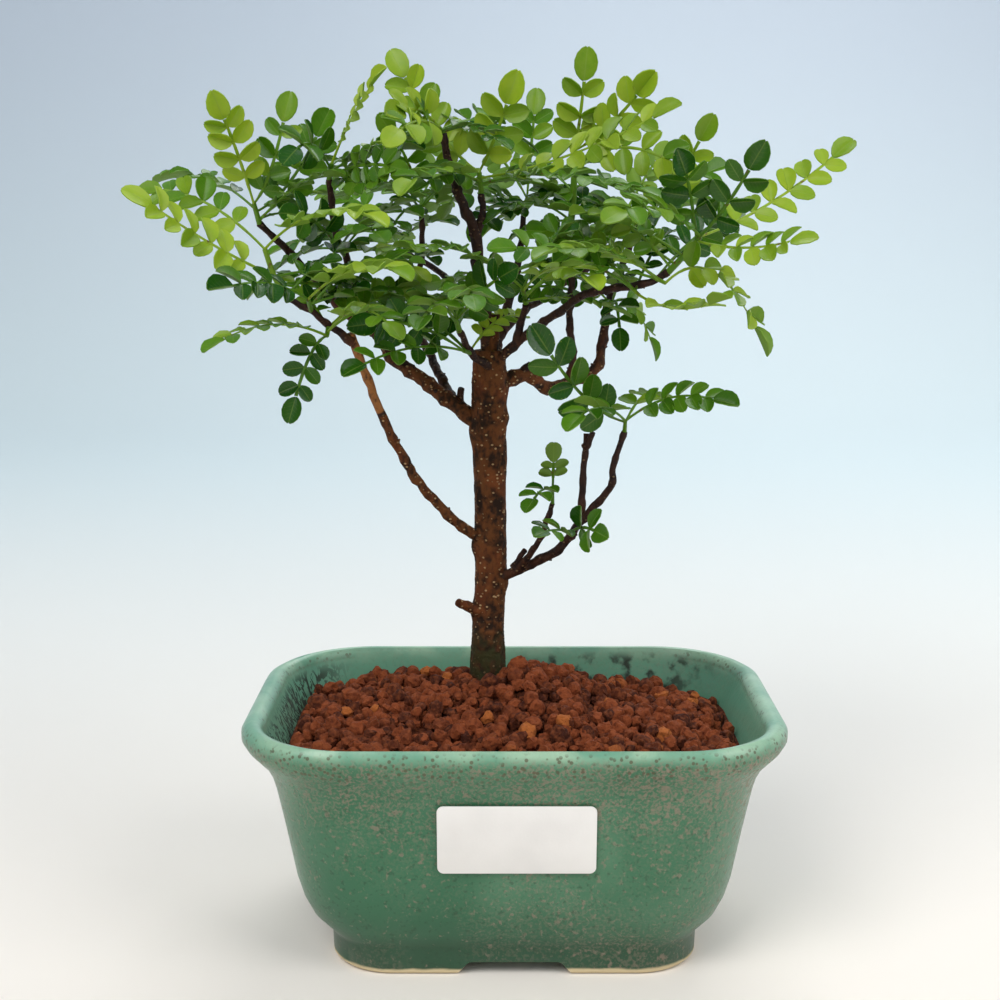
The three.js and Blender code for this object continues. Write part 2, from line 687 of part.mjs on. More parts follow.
// The card, a thin plate with round corners that faces +Z.
function labelGeometry() {
  const { width, height, thickness, corner } = LABEL;
  const shape = new THREE.Shape();
  const x = width / 2;
  const y = height / 2;
  shape.moveTo(-x + corner, -y);
  shape.lineTo(x - corner, -y);
  shape.absarc(x - corner, -y + corner, corner, -Math.PI / 2, 0);
  shape.absarc(x - corner, y - corner, corner, 0, Math.PI / 2);
  shape.absarc(-x + corner, y - corner, corner, Math.PI / 2, Math.PI);
  shape.absarc(-x + corner, -y + corner, corner, Math.PI, 1.5 * Math.PI);
  const options = { depth: thickness, bevelEnabled: false, curveSegments: 3 };
  return new THREE.ExtrudeGeometry(shape, options);
}

// The front wall's place at a height, for the label that lies along it.
function frontWallY(z) {
  const above = POT_OUTSIDE.findIndex((row) => row[1] > z);
  const [lowX, lowZ] = POT_OUTSIDE[above - 1];
  const [highX, highZ] = POT_OUTSIDE[above];
  const halfX = lowX + ((highX - lowX) * (z - lowZ)) / (highZ - lowZ);
  return -(POT.footHalfY + (halfX - POT.footHalfX) * POT.depthPerWidth);
}

const material = (color, roughness) => new THREE.MeshStandardMaterial({ color, roughness });
const group = new THREE.Group();

// Adds one named mesh with a material of its own.
function place(name, geometry, surface) {
  const mesh = new THREE.Mesh(geometry, surface);
  mesh.name = name;
  group.add(mesh);
  return mesh;
}

place("pot", geometryOf(potBody()), material(0x46806a, 0.3));
place("soil", geometryOf(soilBody()), material(0x7a3d25, 0.95));
place("trunk_and_branches", geometryOf(woodBody(0)), material(0x5c3b26, 0.85));

const label = place("label", labelGeometry(), material(0xf2f2ee, 0.5));
const lowY = frontWallY(LABEL.lowZ);
const highY = frontWallY(LABEL.lowZ + LABEL.height);
label.rotation.x = Math.PI / 2 + Math.atan2(lowY - highY, LABEL.height);
label.position.set(LABEL.x, (lowY + highY) / 2 - LABEL.gap, LABEL.lowZ + LABEL.height / 2);

const clearWood = woodBody(CLEAR);
const placed = [{ solid: clearWood, box: boxOf(clearWood) }];
for (const shoot of SHOOTS) {
  const solid = shootBody(shoot, placed).subtract(clearWood);
  placed.push({ solid, box: boxOf(solid) });
  place(shoot[0], geometryOf(solid), material(0x4d8a34, 0.5));
}

group.updateMatrixWorld(true);
const bounds = new THREE.Box3().setFromObject(group);
const middle = bounds.getCenter(new THREE.Vector3());
group.position.set(-middle.x, -middle.y, -bounds.min.z);

export default group;
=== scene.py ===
"""A chinese pepper bonsai in its green glazed pot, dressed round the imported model's frame.

The rows of branches and fronds are in millimetres from the middle of the pot's underside, x to
the right, y away from the labelled front and z up. `Ground` turns them into the frame's metres.
"""

import logging
import math
import random
from collections.abc import Sequence
from dataclasses import dataclass, field
from enum import Enum

import bmesh
import bpy
import numpy as np
from mathutils import Euler, Matrix, Vector, noise


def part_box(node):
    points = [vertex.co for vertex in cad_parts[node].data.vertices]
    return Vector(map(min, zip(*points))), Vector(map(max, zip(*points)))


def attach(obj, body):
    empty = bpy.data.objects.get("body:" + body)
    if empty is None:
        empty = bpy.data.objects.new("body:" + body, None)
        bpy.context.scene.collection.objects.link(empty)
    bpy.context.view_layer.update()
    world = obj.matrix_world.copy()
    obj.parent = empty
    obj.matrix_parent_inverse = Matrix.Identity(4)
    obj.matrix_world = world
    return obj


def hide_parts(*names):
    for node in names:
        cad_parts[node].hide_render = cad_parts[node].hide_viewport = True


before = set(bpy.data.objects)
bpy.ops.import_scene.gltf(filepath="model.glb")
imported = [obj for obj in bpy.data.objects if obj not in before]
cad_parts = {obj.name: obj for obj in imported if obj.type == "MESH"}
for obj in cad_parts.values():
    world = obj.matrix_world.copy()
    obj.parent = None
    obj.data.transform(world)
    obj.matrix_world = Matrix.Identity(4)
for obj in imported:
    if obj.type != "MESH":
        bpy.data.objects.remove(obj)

LOG = logging.getLogger("pepper_bonsai")
MM = 0.001
FULL_TURN = 2 * math.pi
RANDOM_TURN = 6.28
CIRCLE_RADIUS = 0.05
TRUNK_STEPS = 16
BRANCH_STEPS = 8
SHOOT_STEPS = 5
SAME = 1e-6

Piece = bpy.types.Object
Material = bpy.types.Material
Socket = bpy.types.NodeSocket
Colour = tuple[int, int, int]
Point = tuple[float, float, float]
Range = tuple[float, float]
Faces = list[tuple[int, ...]]
Master = tuple[np.ndarray, Faces, np.ndarray, np.ndarray]


class Face(Enum):
    """The way that a frond's upper side looks."""

    UP = (0.0, -0.1, 1.0)
    FRONT = (0.0, -1.0, 0.15)
    SLANT = (0.0, -0.75, 0.8)
    BACK = (0.0, 1.0, 0.3)
    LEFT = (-1.0, -0.3, 0.3)
    RIGHT = (1.0, -0.4, 0.2)


class Bark(Enum):
    """How old the wood of a branch is, as the bark finish reads it."""

    TRUNK = 0.0
    BRANCH = 0.8
    TWIG = 1.0
    TAN = 2.0


@dataclass(frozen=True)
class Branch:
    """One branch: its radii at both ends and the points along its middle, in millimetres."""

    name: str
    first: float
    last: float
    bark: Bark
    points: tuple[Point, ...]

    def path(self) -> list[Vector]:
        """Gives the smooth line along the branch's middle."""
        return smooth_rows([Vector(point) for point in self.points], BRANCH_STEPS)

    def radius(self, share: float) -> float:
        """Gives the branch's radius at a share of its length."""
        return self.first + (self.last - self.first) * share


@dataclass(frozen=True)
class Frond:
    """One frond: its place along its shoot, its rachis's end, how far its middle is raised,
    its pairs of leaflets, the way it faces, the leaflets' size and how young they are."""

    at: float
    tip: Point
    raised: float
    pairs: int
    face: Face
    size: float
    youth: float


@dataclass(frozen=True)
class Shoot:
    """A green shoot: the points of its stem, the stem's radius and its fronds."""

    name: str
    stem: tuple[Point, ...]
    radius: float
    fronds: tuple[Frond, ...]


BRANCHES = (
    Branch("low_left", 1.4, 1.05, Bark.TRUNK, (
        (-7, 16, 99), (-14, 12, 104), (-24, 8, 115), (-30, 4, 126), (-35, -2, 139), (-41, -8, 157))),
    Branch("low_left_tip", 0.9, 0.7, Bark.TWIG, (
        (-40.5, -8, 155), (-45.5, -11, 159), (-50, -13, 163), (-55, -15, 166))),
    Branch("left", 2.2, 0.8, Bark.BRANCH, (
        (-6.5, 16, 129), (-17, 18, 137), (-25, 20, 143), (-33, 21, 149), (-37, 22, 155),
        (-43, 22, 159), (-50, 20, 166), (-57, 14, 175), (-65, 6, 184))),
    Branch("left_riser", 1.2, 0.75, Bark.TWIG, (
        (-37, 22, 155), (-39, 18, 163), (-42, 14, 169), (-44, 11, 176), (-46, 9, 182), (-47, 6, 195))),
    Branch("left_back", 1.4, 0.75, Bark.TWIG, (
        (-14, 17, 135), (-18, 26, 139), (-21, 32, 144), (-26, 42, 153), (-28, 48, 161),
        (-26, 52, 176), (-26, 52, 187))),
    Branch("front_spur", 1.05, 0.8, Bark.TWIG, ((-4.5, 15, 145), (-11, 6, 151), (-14, 1, 157))),
    Branch("leader", 1.8, 0.85, Bark.TWIG, (
        (-6.5, 16, 149), (-7.5, 14, 160), (-9, 11, 170), (-10, 9, 181), (-12.5, 8, 187),
        (-15, 7, 194), (-17, 7, 201), (-18, 7, 206.5))),
    Branch("leader_fork", 0.95, 0.8, Bark.TWIG, ((-10, 9, 181), (-8.5, 11, 185), (-8.5, 12, 191.5))),
    Branch("right", 2.0, 0.85, Bark.BRANCH, (
        (-6, 16, 141), (3, 20, 144), (9.5, 26, 140), (17, 32, 141), (23, 35, 144), (25, 37, 151),
        (26, 38, 160), (28, 37, 167), (32, 34, 178))),
    Branch("right_riser", 1.05, 0.85, Bark.TWIG, (
        (15.5, 31, 140.5), (16.5, 32, 148), (15.5, 32, 158), (16, 31, 166), (15, 29, 179))),
    Branch("diagonal", 1.2, 0.8, Bark.TWIG, (
        (-5, 15, 148), (4, 8, 156), (9, 2, 160), (16.5, -6, 166), (25, -12, 168.5),
        (31.5, -15, 169.5), (37, -17, 172.5))),
    Branch("diagonal_spur", 1.0, 0.8, Bark.TWIG, ((1, 10, 153.5), (1.5, 8, 158), (3, 4, 163.5))),
    Branch("low_right", 1.35, 0.75, Bark.TWIG, (
        (-6.5, 16, 88), (2.5, 12, 92.5), (10.5, 8, 97.5), (15.5, 4, 104), (18, 2, 108),
        (22, 0, 113), (25, -2, 117), (25.5, -3, 123), (28, -5, 132))),
    Branch("low_right_riser", 0.95, 0.75, Bark.TWIG, (
        (17.5, 2, 107), (18, 4, 114), (18.5, 5, 123), (19, 6, 130))),
    Branch("low_right_inner", 0.85, 0.65, Bark.TWIG, (
        (1, 12, 92), (6, 6, 100), (8.5, 2, 107), (10, 0, 112.5))),
    Branch("back_riser", 1.5, 0.8, Bark.TWIG, (
        (-6.5, 17, 147), (-3.5, 28, 155), (-0.5, 38, 166), (2, 45, 176), (3, 50, 186))),
    Branch("back_right", 1.1, 0.75, Bark.TWIG, (
        (-3.5, 28, 155), (7.5, 42, 163), (19.5, 52, 170), (28, 60, 176))),
    Branch("back_left", 1.1, 0.75, Bark.TWIG, (
        (-3.5, 27, 154), (-12, 45, 162), (-21, 58, 170), (-33, 66, 176))),
    Branch("stub_low", 1.25, 1.1, Bark.TRUNK, ((-9, 14, 80), (-15, 10, 83.5))),
    Branch("stub_right", 0.75, 0.65, Bark.TWIG, ((0, 12, 92.5), (3, 9, 98))),
    Branch("stub_left", 0.9, 0.8, Bark.TWIG, ((-15, 19, 135.5), (-14, 18, 140.5))),
    Branch("stub_top", 1.6, 1.4, Bark.TRUNK, ((-6, 15, 150), (-5, 15, 160.5))),
    Branch("stub_fork", 0.75, 0.65, Bark.TWIG, ((18.5, 5, 126.5), (20.5, 4, 130.5))),
    Branch("stub_elbow", 0.9, 0.8, Bark.TWIG, ((1.5, 20, 143.5), (4.5, 18, 147))),
)

SHOOTS = (
    Shoot("shoot_far_left", ((-55, -15, 166), (-58, -17, 171), (-60, -19, 178)), 0.8, (
        Frond(0.55, (-83, -34, 188), -2, 6, Face.SLANT, 1.0, 0.95),
        Frond(1, (-34, -42, 186), 8, 6, Face.UP, 0.95, 0.9),
        Frond(1, (-85, -14, 192), 6, 5, Face.SLANT, 0.95, 0.7))),
    Shoot("shoot_left_top", ((-65, 6, 184), (-66, 4, 189)), 0.75, (
        Frond(0.9, (-71, -6, 209), 2, 4, Face.FRONT, 1.1, 1.0),
        Frond(1, (-58, 4, 209), -6, 4, Face.FRONT, 1.1, 0.55),
        Frond(0.6, (-51, 14, 206), -6, 4, Face.FRONT, 1.05, 0.4),
        Frond(0.7, (-88, 16, 196), 6, 5, Face.UP, 1.0, 0.3))),
    Shoot("shoot_left_low", ((-50, -13, 163), (-50, -18, 166)), 0.7, (
        Frond(1, (-65, -34, 170), 4, 4, Face.SLANT, 1.0, 0.2),
        Frond(1, (-28, -46, 174), 6, 5, Face.UP, 1.0, 0.85))),
    Shoot("shoot_left_under", ((-46, -11, 159), (-46, -15, 157)), 0.7, (
        Frond(1, (-67, -36, 158), 6, 6, Face.UP, 0.95, 0.65),
        Frond(1, (-53, -22, 143), 6, 4, Face.FRONT, 0.95, 0.1),
        Frond(0.7, (-30, -36, 162), 8, 4, Face.UP, 0.95, 0.7))),
    Shoot("shoot_left_inner", ((-47, 6, 195), (-46, 4, 199)), 0.75, (
        Frond(1, (-35, -6, 217), 3, 6, Face.LEFT, 0.9, 1.0),
        Frond(0.6, (-52, -14, 202), 6, 3, Face.FRONT, 1.05, 0.15),
        Frond(0.7, (-33, -10, 195), -4, 4, Face.SLANT, 1.0, 0.45),
        Frond(0.8, (-44, 36, 196), 6, 4, Face.UP, 1.0, 0.3))),
    Shoot("shoot_left_mid", ((-44, 11, 176), (-45, 6, 178)), 0.7, (
        Frond(1, (-52, -14, 186), 3, 3, Face.FRONT, 1.0, 0.1),
        Frond(0.8, (-33, -24, 182), 6, 4, Face.SLANT, 1.0, 0.35),
        Frond(0.7, (-64, 8, 170), 6, 4, Face.UP, 1.0, 0.2))),
    Shoot("shoot_low_front", ((-11, 6, 151), (-13, 1, 152)), 0.65, (
        Frond(1, (-34, -14, 160), 5, 4, Face.FRONT, 1.05, 0.15),
        Frond(0.8, (-36, -24, 151), 5, 4, Face.SLANT, 0.95, 0.3))),
    Shoot("shoot_front_spur", ((-14, 1, 157), (-15, -2, 161)), 0.8, (
        Frond(1, (-21, -38, 163), 7, 4, Face.UP, 1.0, 0.5),
        Frond(0.9, (-10, -38, 168), 6, 4, Face.UP, 1.0, 0.4),
        Frond(0.7, (-4, -18, 171), 2, 4, Face.FRONT, 1.0, 0.2))),
    Shoot("shoot_spur", ((3, 4, 164), (2, 0, 168)), 0.8, (
        Frond(1, (-25, -24, 178), 8, 7, Face.UP, 1.0, 0.55),
        Frond(0.8, (16, -38, 172), 8, 5, Face.UP, 1.0, 0.8),
        Frond(0.9, (11, -18, 181), 4, 4, Face.SLANT, 1.0, 0.3))),
    Shoot("shoot_top_left", ((-18, 7, 206.5), (-19, 4, 208)), 0.6, (
        Frond(1, (-27, -10, 211), 3, 3, Face.FRONT, 1.15, 0.9),
        Frond(0.6, (-27, -19, 206), 4, 3, Face.FRONT, 1.1, 0.75),
        Frond(0.5, (-7, 24, 211), 2, 3, Face.SLANT, 1.0, 0.5))),
    Shoot("shoot_top", ((-8.5, 12, 192), (-9, 10, 197)), 0.8, (
        Frond(1, (-28, 16, 221), -6, 5, Face.FRONT, 1.2, 0.85),
        Frond(1, (-2, 0, 213), -2, 3, Face.FRONT, 1.15, 0.8),
        Frond(0.7, (33, -12, 209), -4, 8, Face.SLANT, 1.0, 0.85),
        Frond(0.4, (28, -24, 192), 6, 7, Face.UP, 1.0, 0.4),
        Frond(0.5, (-24, -26, 194), 5, 4, Face.UP, 1.0, 0.6))),
    Shoot("shoot_leader", ((15, 29, 179), (16, 26, 192), (16, 24, 203)), 1.0, (
        Frond(1, (31, 10, 216), -3, 4, Face.FRONT, 1.1, 0.9),
        Frond(1, (18, 16, 220), -4, 3, Face.FRONT, 1.2, 0.85),
        Frond(0.85, (40, 4, 199), 8, 4, Face.FRONT, 1.1, 0.75),
        Frond(0.55, (30, 48, 194), 4, 4, Face.SLANT, 1.0, 0.3),
        Frond(0.5, (2, 42, 199), 6, 5, Face.UP, 1.0, 0.4))),
    Shoot("shoot_right_top", ((32, 34, 178), (34, 30, 184)), 0.75, (
        Frond(1, (48, 16, 205), -4, 3, Face.FRONT, 1.0, 0.75),
        Frond(1, (54, 44, 198), 4, 4, Face.SLANT, 1.0, 0.5),
        Frond(0.8, (22, 16, 188), 5, 4, Face.SLANT, 1.0, 0.2),
        Frond(0.6, (39, 2, 187), 4, 3, Face.FRONT, 1.05, 0.15))),
    Shoot("shoot_right_mid", ((26, 38, 160), (28, 33, 163)), 0.6, (
        Frond(1, (38, 36, 153), 8, 3, Face.RIGHT, 0.9, 0.6),
        Frond(0.8, (28, 16, 157), 6, 3, Face.FRONT, 0.9, 0.15))),
    Shoot("shoot_right_tip", ((37, -17, 172.5), (40, -19, 176), (44, -21, 181)), 0.85, (
        Frond(1, (78, -6, 200), -4, 6, Face.SLANT, 0.95, 0.95),
        Frond(0.9, (62, -38, 180), -3, 5, Face.SLANT, 0.95, 0.85),
        Frond(1, (53, -34, 196), -2, 3, Face.FRONT, 1.0, 0.12),
        Frond(0.9, (39, -32, 195), 3, 3, Face.FRONT, 1.0, 0.16),
        Frond(1, (24, -46, 187), 6, 5, Face.SLANT, 1.0, 0.55))),
    Shoot("shoot_right_droop", ((34, -16, 171), (36, -20, 170)), 0.6, (
        Frond(1, (57, -24, 160), 16, 5, Face.RIGHT, 1.0, 0.85),
        Frond(0.6, (9, -44, 178), 6, 7, Face.UP, 1.0, 0.65))),
    Shoot("shoot_right_small", ((28, -13.5, 169), (30, -18, 167)), 0.55, (
        Frond(1, (44, -40, 166), -4, 3, Face.UP, 0.95, 0.9),)),
    Shoot("shoot_low_right", ((28, -5, 132), (28, -7, 135)), 0.6, (
        Frond(1, (48, -20, 142), 6, 5, Face.SLANT, 1.0, 0.45),
        Frond(0.9, (9, -12, 152), -6, 4, Face.FRONT, 1.2, 0.1),
        Frond(1, (16, -26, 139), 5, 3, Face.UP, 1.0, 0.4),
        Frond(0.8, (38, 14, 139), 6, 3, Face.UP, 0.95, 0.6))),
    Shoot("shoot_low_inner", ((10, 0, 112.5), (10, -1, 117)), 0.5, (
        Frond(1, (10, -5, 124), -1, 2, Face.UP, 0.85, 0.1),
        Frond(0.7, (5, -12, 116), 3, 2, Face.UP, 0.8, 0.2))),
    Shoot("shoot_low_elbow", ((15.5, 4, 104), (14.5, -1, 105)), 0.5, (
        Frond(1, (20, -13, 108), 2, 2, Face.FRONT, 0.95, 0.15),
        Frond(0.7, (8, -14, 108), 1, 2, Face.SLANT, 0.85, 0.25))),
    Shoot("shoot_back_left", ((-26, 52, 187), (-26, 54, 191)), 0.75, (
        Frond(1, (-33, 40, 208), 3, 4, Face.FRONT, 1.0, 0.6),
        Frond(1, (-18, 60, 206), 3, 4, Face.BACK, 1.0, 0.5),
        Frond(0.7, (-50, 66, 192), 6, 5, Face.UP, 1.0, 0.35),
        Frond(0.7, (-22, 86, 189), 6, 5, Face.UP, 1.0, 0.4),
        Frond(0.5, (-33, 30, 183), 4, 3, Face.SLANT, 1.0, 0.2))),
    Shoot("shoot_back_top", ((3, 50, 186), (4, 50, 191)), 0.75, (
        Frond(1, (6, 52, 214), 2, 4, Face.FRONT, 1.0, 0.55),
        Frond(1, (-6, 66, 205), 3, 4, Face.BACK, 1.0, 0.5),
        Frond(0.7, (22, 84, 192), 6, 6, Face.UP, 1.0, 0.4),
        Frond(0.7, (-8, 30, 184), 4, 4, Face.SLANT, 1.0, 0.2))),
    Shoot("shoot_back_right", ((28, 60, 176), (30, 62, 181)), 0.75, (
        Frond(1, (42, 68, 202), 2, 5, Face.BACK, 1.0, 0.6),
        Frond(1, (64, 62, 190), 6, 6, Face.UP, 1.0, 0.5),
        Frond(0.7, (42, 92, 180), 6, 5, Face.UP, 1.0, 0.35),
        Frond(0.5, (12, 70, 182), 4, 4, Face.SLANT, 1.0, 0.25))),
    Shoot("shoot_back_far_left", ((-33, 66, 176), (-35, 68, 180)), 0.75, (
        Frond(1, (-56, 84, 194), 6, 5, Face.SLANT, 1.0, 0.5),
        Frond(1, (-64, 56, 178), 6, 5, Face.UP, 1.0, 0.3),
        Frond(0.6, (-36, 94, 174), 6, 5, Face.UP, 1.0, 0.4))),
)


class Ground:
    """The place of the pot's middle in the frame, from which every row is measured."""

    def __init__(self) -> None:
        """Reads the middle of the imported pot."""
        low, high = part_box("pot")
        self.middle = Vector(((low.x + high.x) / 2, (low.y + high.y) / 2, 0.0))

    def metres(self, point: Point | Vector) -> Vector:
        """Gives a point of the rows, in millimetres, as a point of the frame, in metres."""
        return Vector(point) * MM + self.middle

    def rows(self, point: Vector) -> Vector:
        """Gives a point of the frame, in metres, as a point of the rows, in millimetres."""
        return (point - self.middle) / MM


def only(piece: Piece) -> None:
    """Makes a piece the one that operators act on.

    Args:
        piece: The object to select and make active.
    """
    bpy.ops.object.select_all(action="DESELECT")
    piece.select_set(True)
    bpy.context.view_layer.objects.active = piece


def added(name: str) -> Piece:
    """Names the primitive that an operator has just added.

    Args:
        name: The object's new name, given to its mesh too.

    Returns:
        The object.
    """
    piece = bpy.context.active_object
    piece.name = name
    piece.data.name = name
    return piece


def shade(piece: Piece, degrees: float) -> None:
    """Shades a piece smooth over all its bends up to so many degrees."""
    only(piece)
    bpy.ops.object.shade_smooth_by_angle(angle=math.radians(degrees))


def mark(piece: Piece, name: str, values: float | list[float] | np.ndarray) -> None:
    """Marks a piece's vertices with numbers that its finish reads.

    Args:
        piece: The piece to mark.
        name: The mark's name.
        values: One number for all the vertices, or one for each.
    """
    layer = piece.data.attributes.new(name, "FLOAT", "POINT")
    numbers = np.broadcast_to(values, len(piece.data.vertices)).astype(np.float32)
    layer.data.foreach_set("value", numbers)


def taken(piece: Piece) -> tuple[np.ndarray, Faces]:
    """Takes the shape of a master that is to be copied, and removes the master.

    Args:
        piece: The master.

    Returns:
        Its vertices and its faces.
    """
    points = np.array([vertex.co[:] for vertex in piece.data.vertices])
    faces = [tuple(face.vertices) for face in piece.data.polygons]
    bpy.data.objects.remove(piece)
    return points, faces


def press(piece: Piece, kind: str, **settings: object) -> None:
    """Adds a modifier to a piece and applies it.

    Args:
        piece: The object that is changed.
        kind: The modifier's type.
        settings: The modifier's own properties.
    """
    only(piece)
    modifier = piece.modifiers.new(kind.title(), kind)
    for key, value in settings.items():
        setattr(modifier, key, value)
    bpy.ops.object.modifier_apply(modifier=modifier.name)


def rise_through(piece: Piece, rings: list[list[Vector]]) -> None:
    """Draws a ring of edges up through further rings by extruding it in edit mode.

    Args:
        piece: A mesh that is the first ring alone.
        rings: All the rings, of equal count, the first where the mesh already is.
    """
    only(piece)
    bpy.ops.object.mode_set(mode="EDIT")
    bpy.ops.mesh.select_mode(type="VERT")
    bpy.ops.mesh.select_all(action="SELECT")
    for below, above in zip(rings, rings[1:]):
        order = {tuple(round(c, 7) for c in point): i for i, point in enumerate(below)}
        bpy.ops.mesh.extrude_region_move()
        shape = bmesh.from_edit_mesh(piece.data)
        for vertex in shape.verts:
            if vertex.select:
                vertex.co = above[order[tuple(round(c, 7) for c in vertex.co)]]
        bmesh.update_edit_mesh(piece.data)
    bpy.ops.object.mode_set(mode="OBJECT")


def close_and_smooth(piece: Piece, degrees: float) -> None:
    """Fills a piece's open rims, turns its faces outwards and shades it.

    Args:
        piece: The mesh to finish.
        degrees: The sharpest bend that is still shaded smooth.
    """
    only(piece)
    bpy.ops.object.mode_set(mode="EDIT")
    bpy.ops.mesh.select_all(action="SELECT")
    bpy.ops.mesh.fill_holes(sides=0)
    bpy.ops.mesh.select_all(action="SELECT")
    bpy.ops.mesh.normals_make_consistent(inside=False)
    bpy.ops.object.mode_set(mode="OBJECT")
    shade(piece, degrees)


def raised(name: str, rings: list[list[Vector]], degrees: float) -> Piece:
    """Raises a closed shape through rings of points.

    Args:
        name: The shape's name.
        rings: Its rings, of equal count, from its first end to its last.
        degrees: The sharpest bend that is still shaded smooth.

    Returns:
        The shape.
    """
    bpy.ops.mesh.primitive_circle_add(vertices=len(rings[0]), radius=CIRCLE_RADIUS)
    piece = added(name)
    for vertex, point in zip(piece.data.vertices, rings[0]):
        vertex.co = point
    rise_through(piece, rings)
    close_and_smooth(piece, degrees)
    return piece


def smooth_rows(points: list[Vector], steps: int) -> list[Vector]:
    """Lays a smooth line through points.

    Args:
        points: The points that the line passes through.
        steps: How many parts each stretch between two points gets.

    Returns:
        The line's points, from the first to the last.
    """
    padded = [2 * points[0] - points[1], *points, 2 * points[-1] - points[-2]]
    line = []
    for a, b, c, d in zip(padded, padded[1:], padded[2:], padded[3:]):
        for step in range(steps):
            t = step / steps
            line.append(0.5 * (2 * b + (c - a) * t + (2 * a - 5 * b + 4 * c - d) * t * t
                               + (3 * b - a - 3 * c + d) * t ** 3))
    return [*line, points[-1].copy()]


@dataclass
class Gathering:
    """Copies of finished shapes laid into one piece, each with vertices of its own."""

    points: list[np.ndarray] = field(default_factory=list)
    faces: Faces = field(default_factory=list)
    places: list[np.ndarray] = field(default_factory=list)
    marks: dict[str, list[np.ndarray]] = field(default_factory=dict)
    count: int = 0

    def lay(self, points: np.ndarray, faces: Faces, places: np.ndarray,
            **marks: np.ndarray | float) -> None:
        """Lays one more copy.

        Args:
            points: The copy's vertices, in metres.
            faces: Its faces, as numbers of its own vertices.
            places: Each vertex's place on the pattern, two numbers a vertex.
            marks: Named numbers that the finishes read, one for all or one a vertex.
        """
        self.points.append(points)
        self.faces.extend(tuple(i + self.count for i in face) for face in faces)
        self.places.append(places)
        for name, value in marks.items():
            self.marks.setdefault(name, []).append(np.broadcast_to(value, len(points)))
        self.count += len(points)

    def piece(self, name: str, degrees: float = 50) -> Piece:
        """Makes the object that holds all the copies.

        Args:
            name: The object's name.
            degrees: The sharpest bend that is still shaded smooth.

        Returns:
            The new object, at the origin.
        """
        mesh = bpy.data.meshes.new(name)
        mesh.from_pydata(np.concatenate(self.points).tolist(), [], self.faces)
        corners = np.zeros(len(mesh.loops), dtype=np.int32)
        mesh.loops.foreach_get("vertex_index", corners)
        pattern = mesh.uv_layers.new(name="pattern")
        pattern.data.foreach_set("uv", np.concatenate(self.places)[corners].ravel())
        piece = bpy.data.objects.new(name, mesh)
        for title, values in self.marks.items():
            mark(piece, title, np.concatenate(values))
        mesh.update()
        bpy.context.collection.objects.link(piece)
        shade(piece, degrees)
        return piece


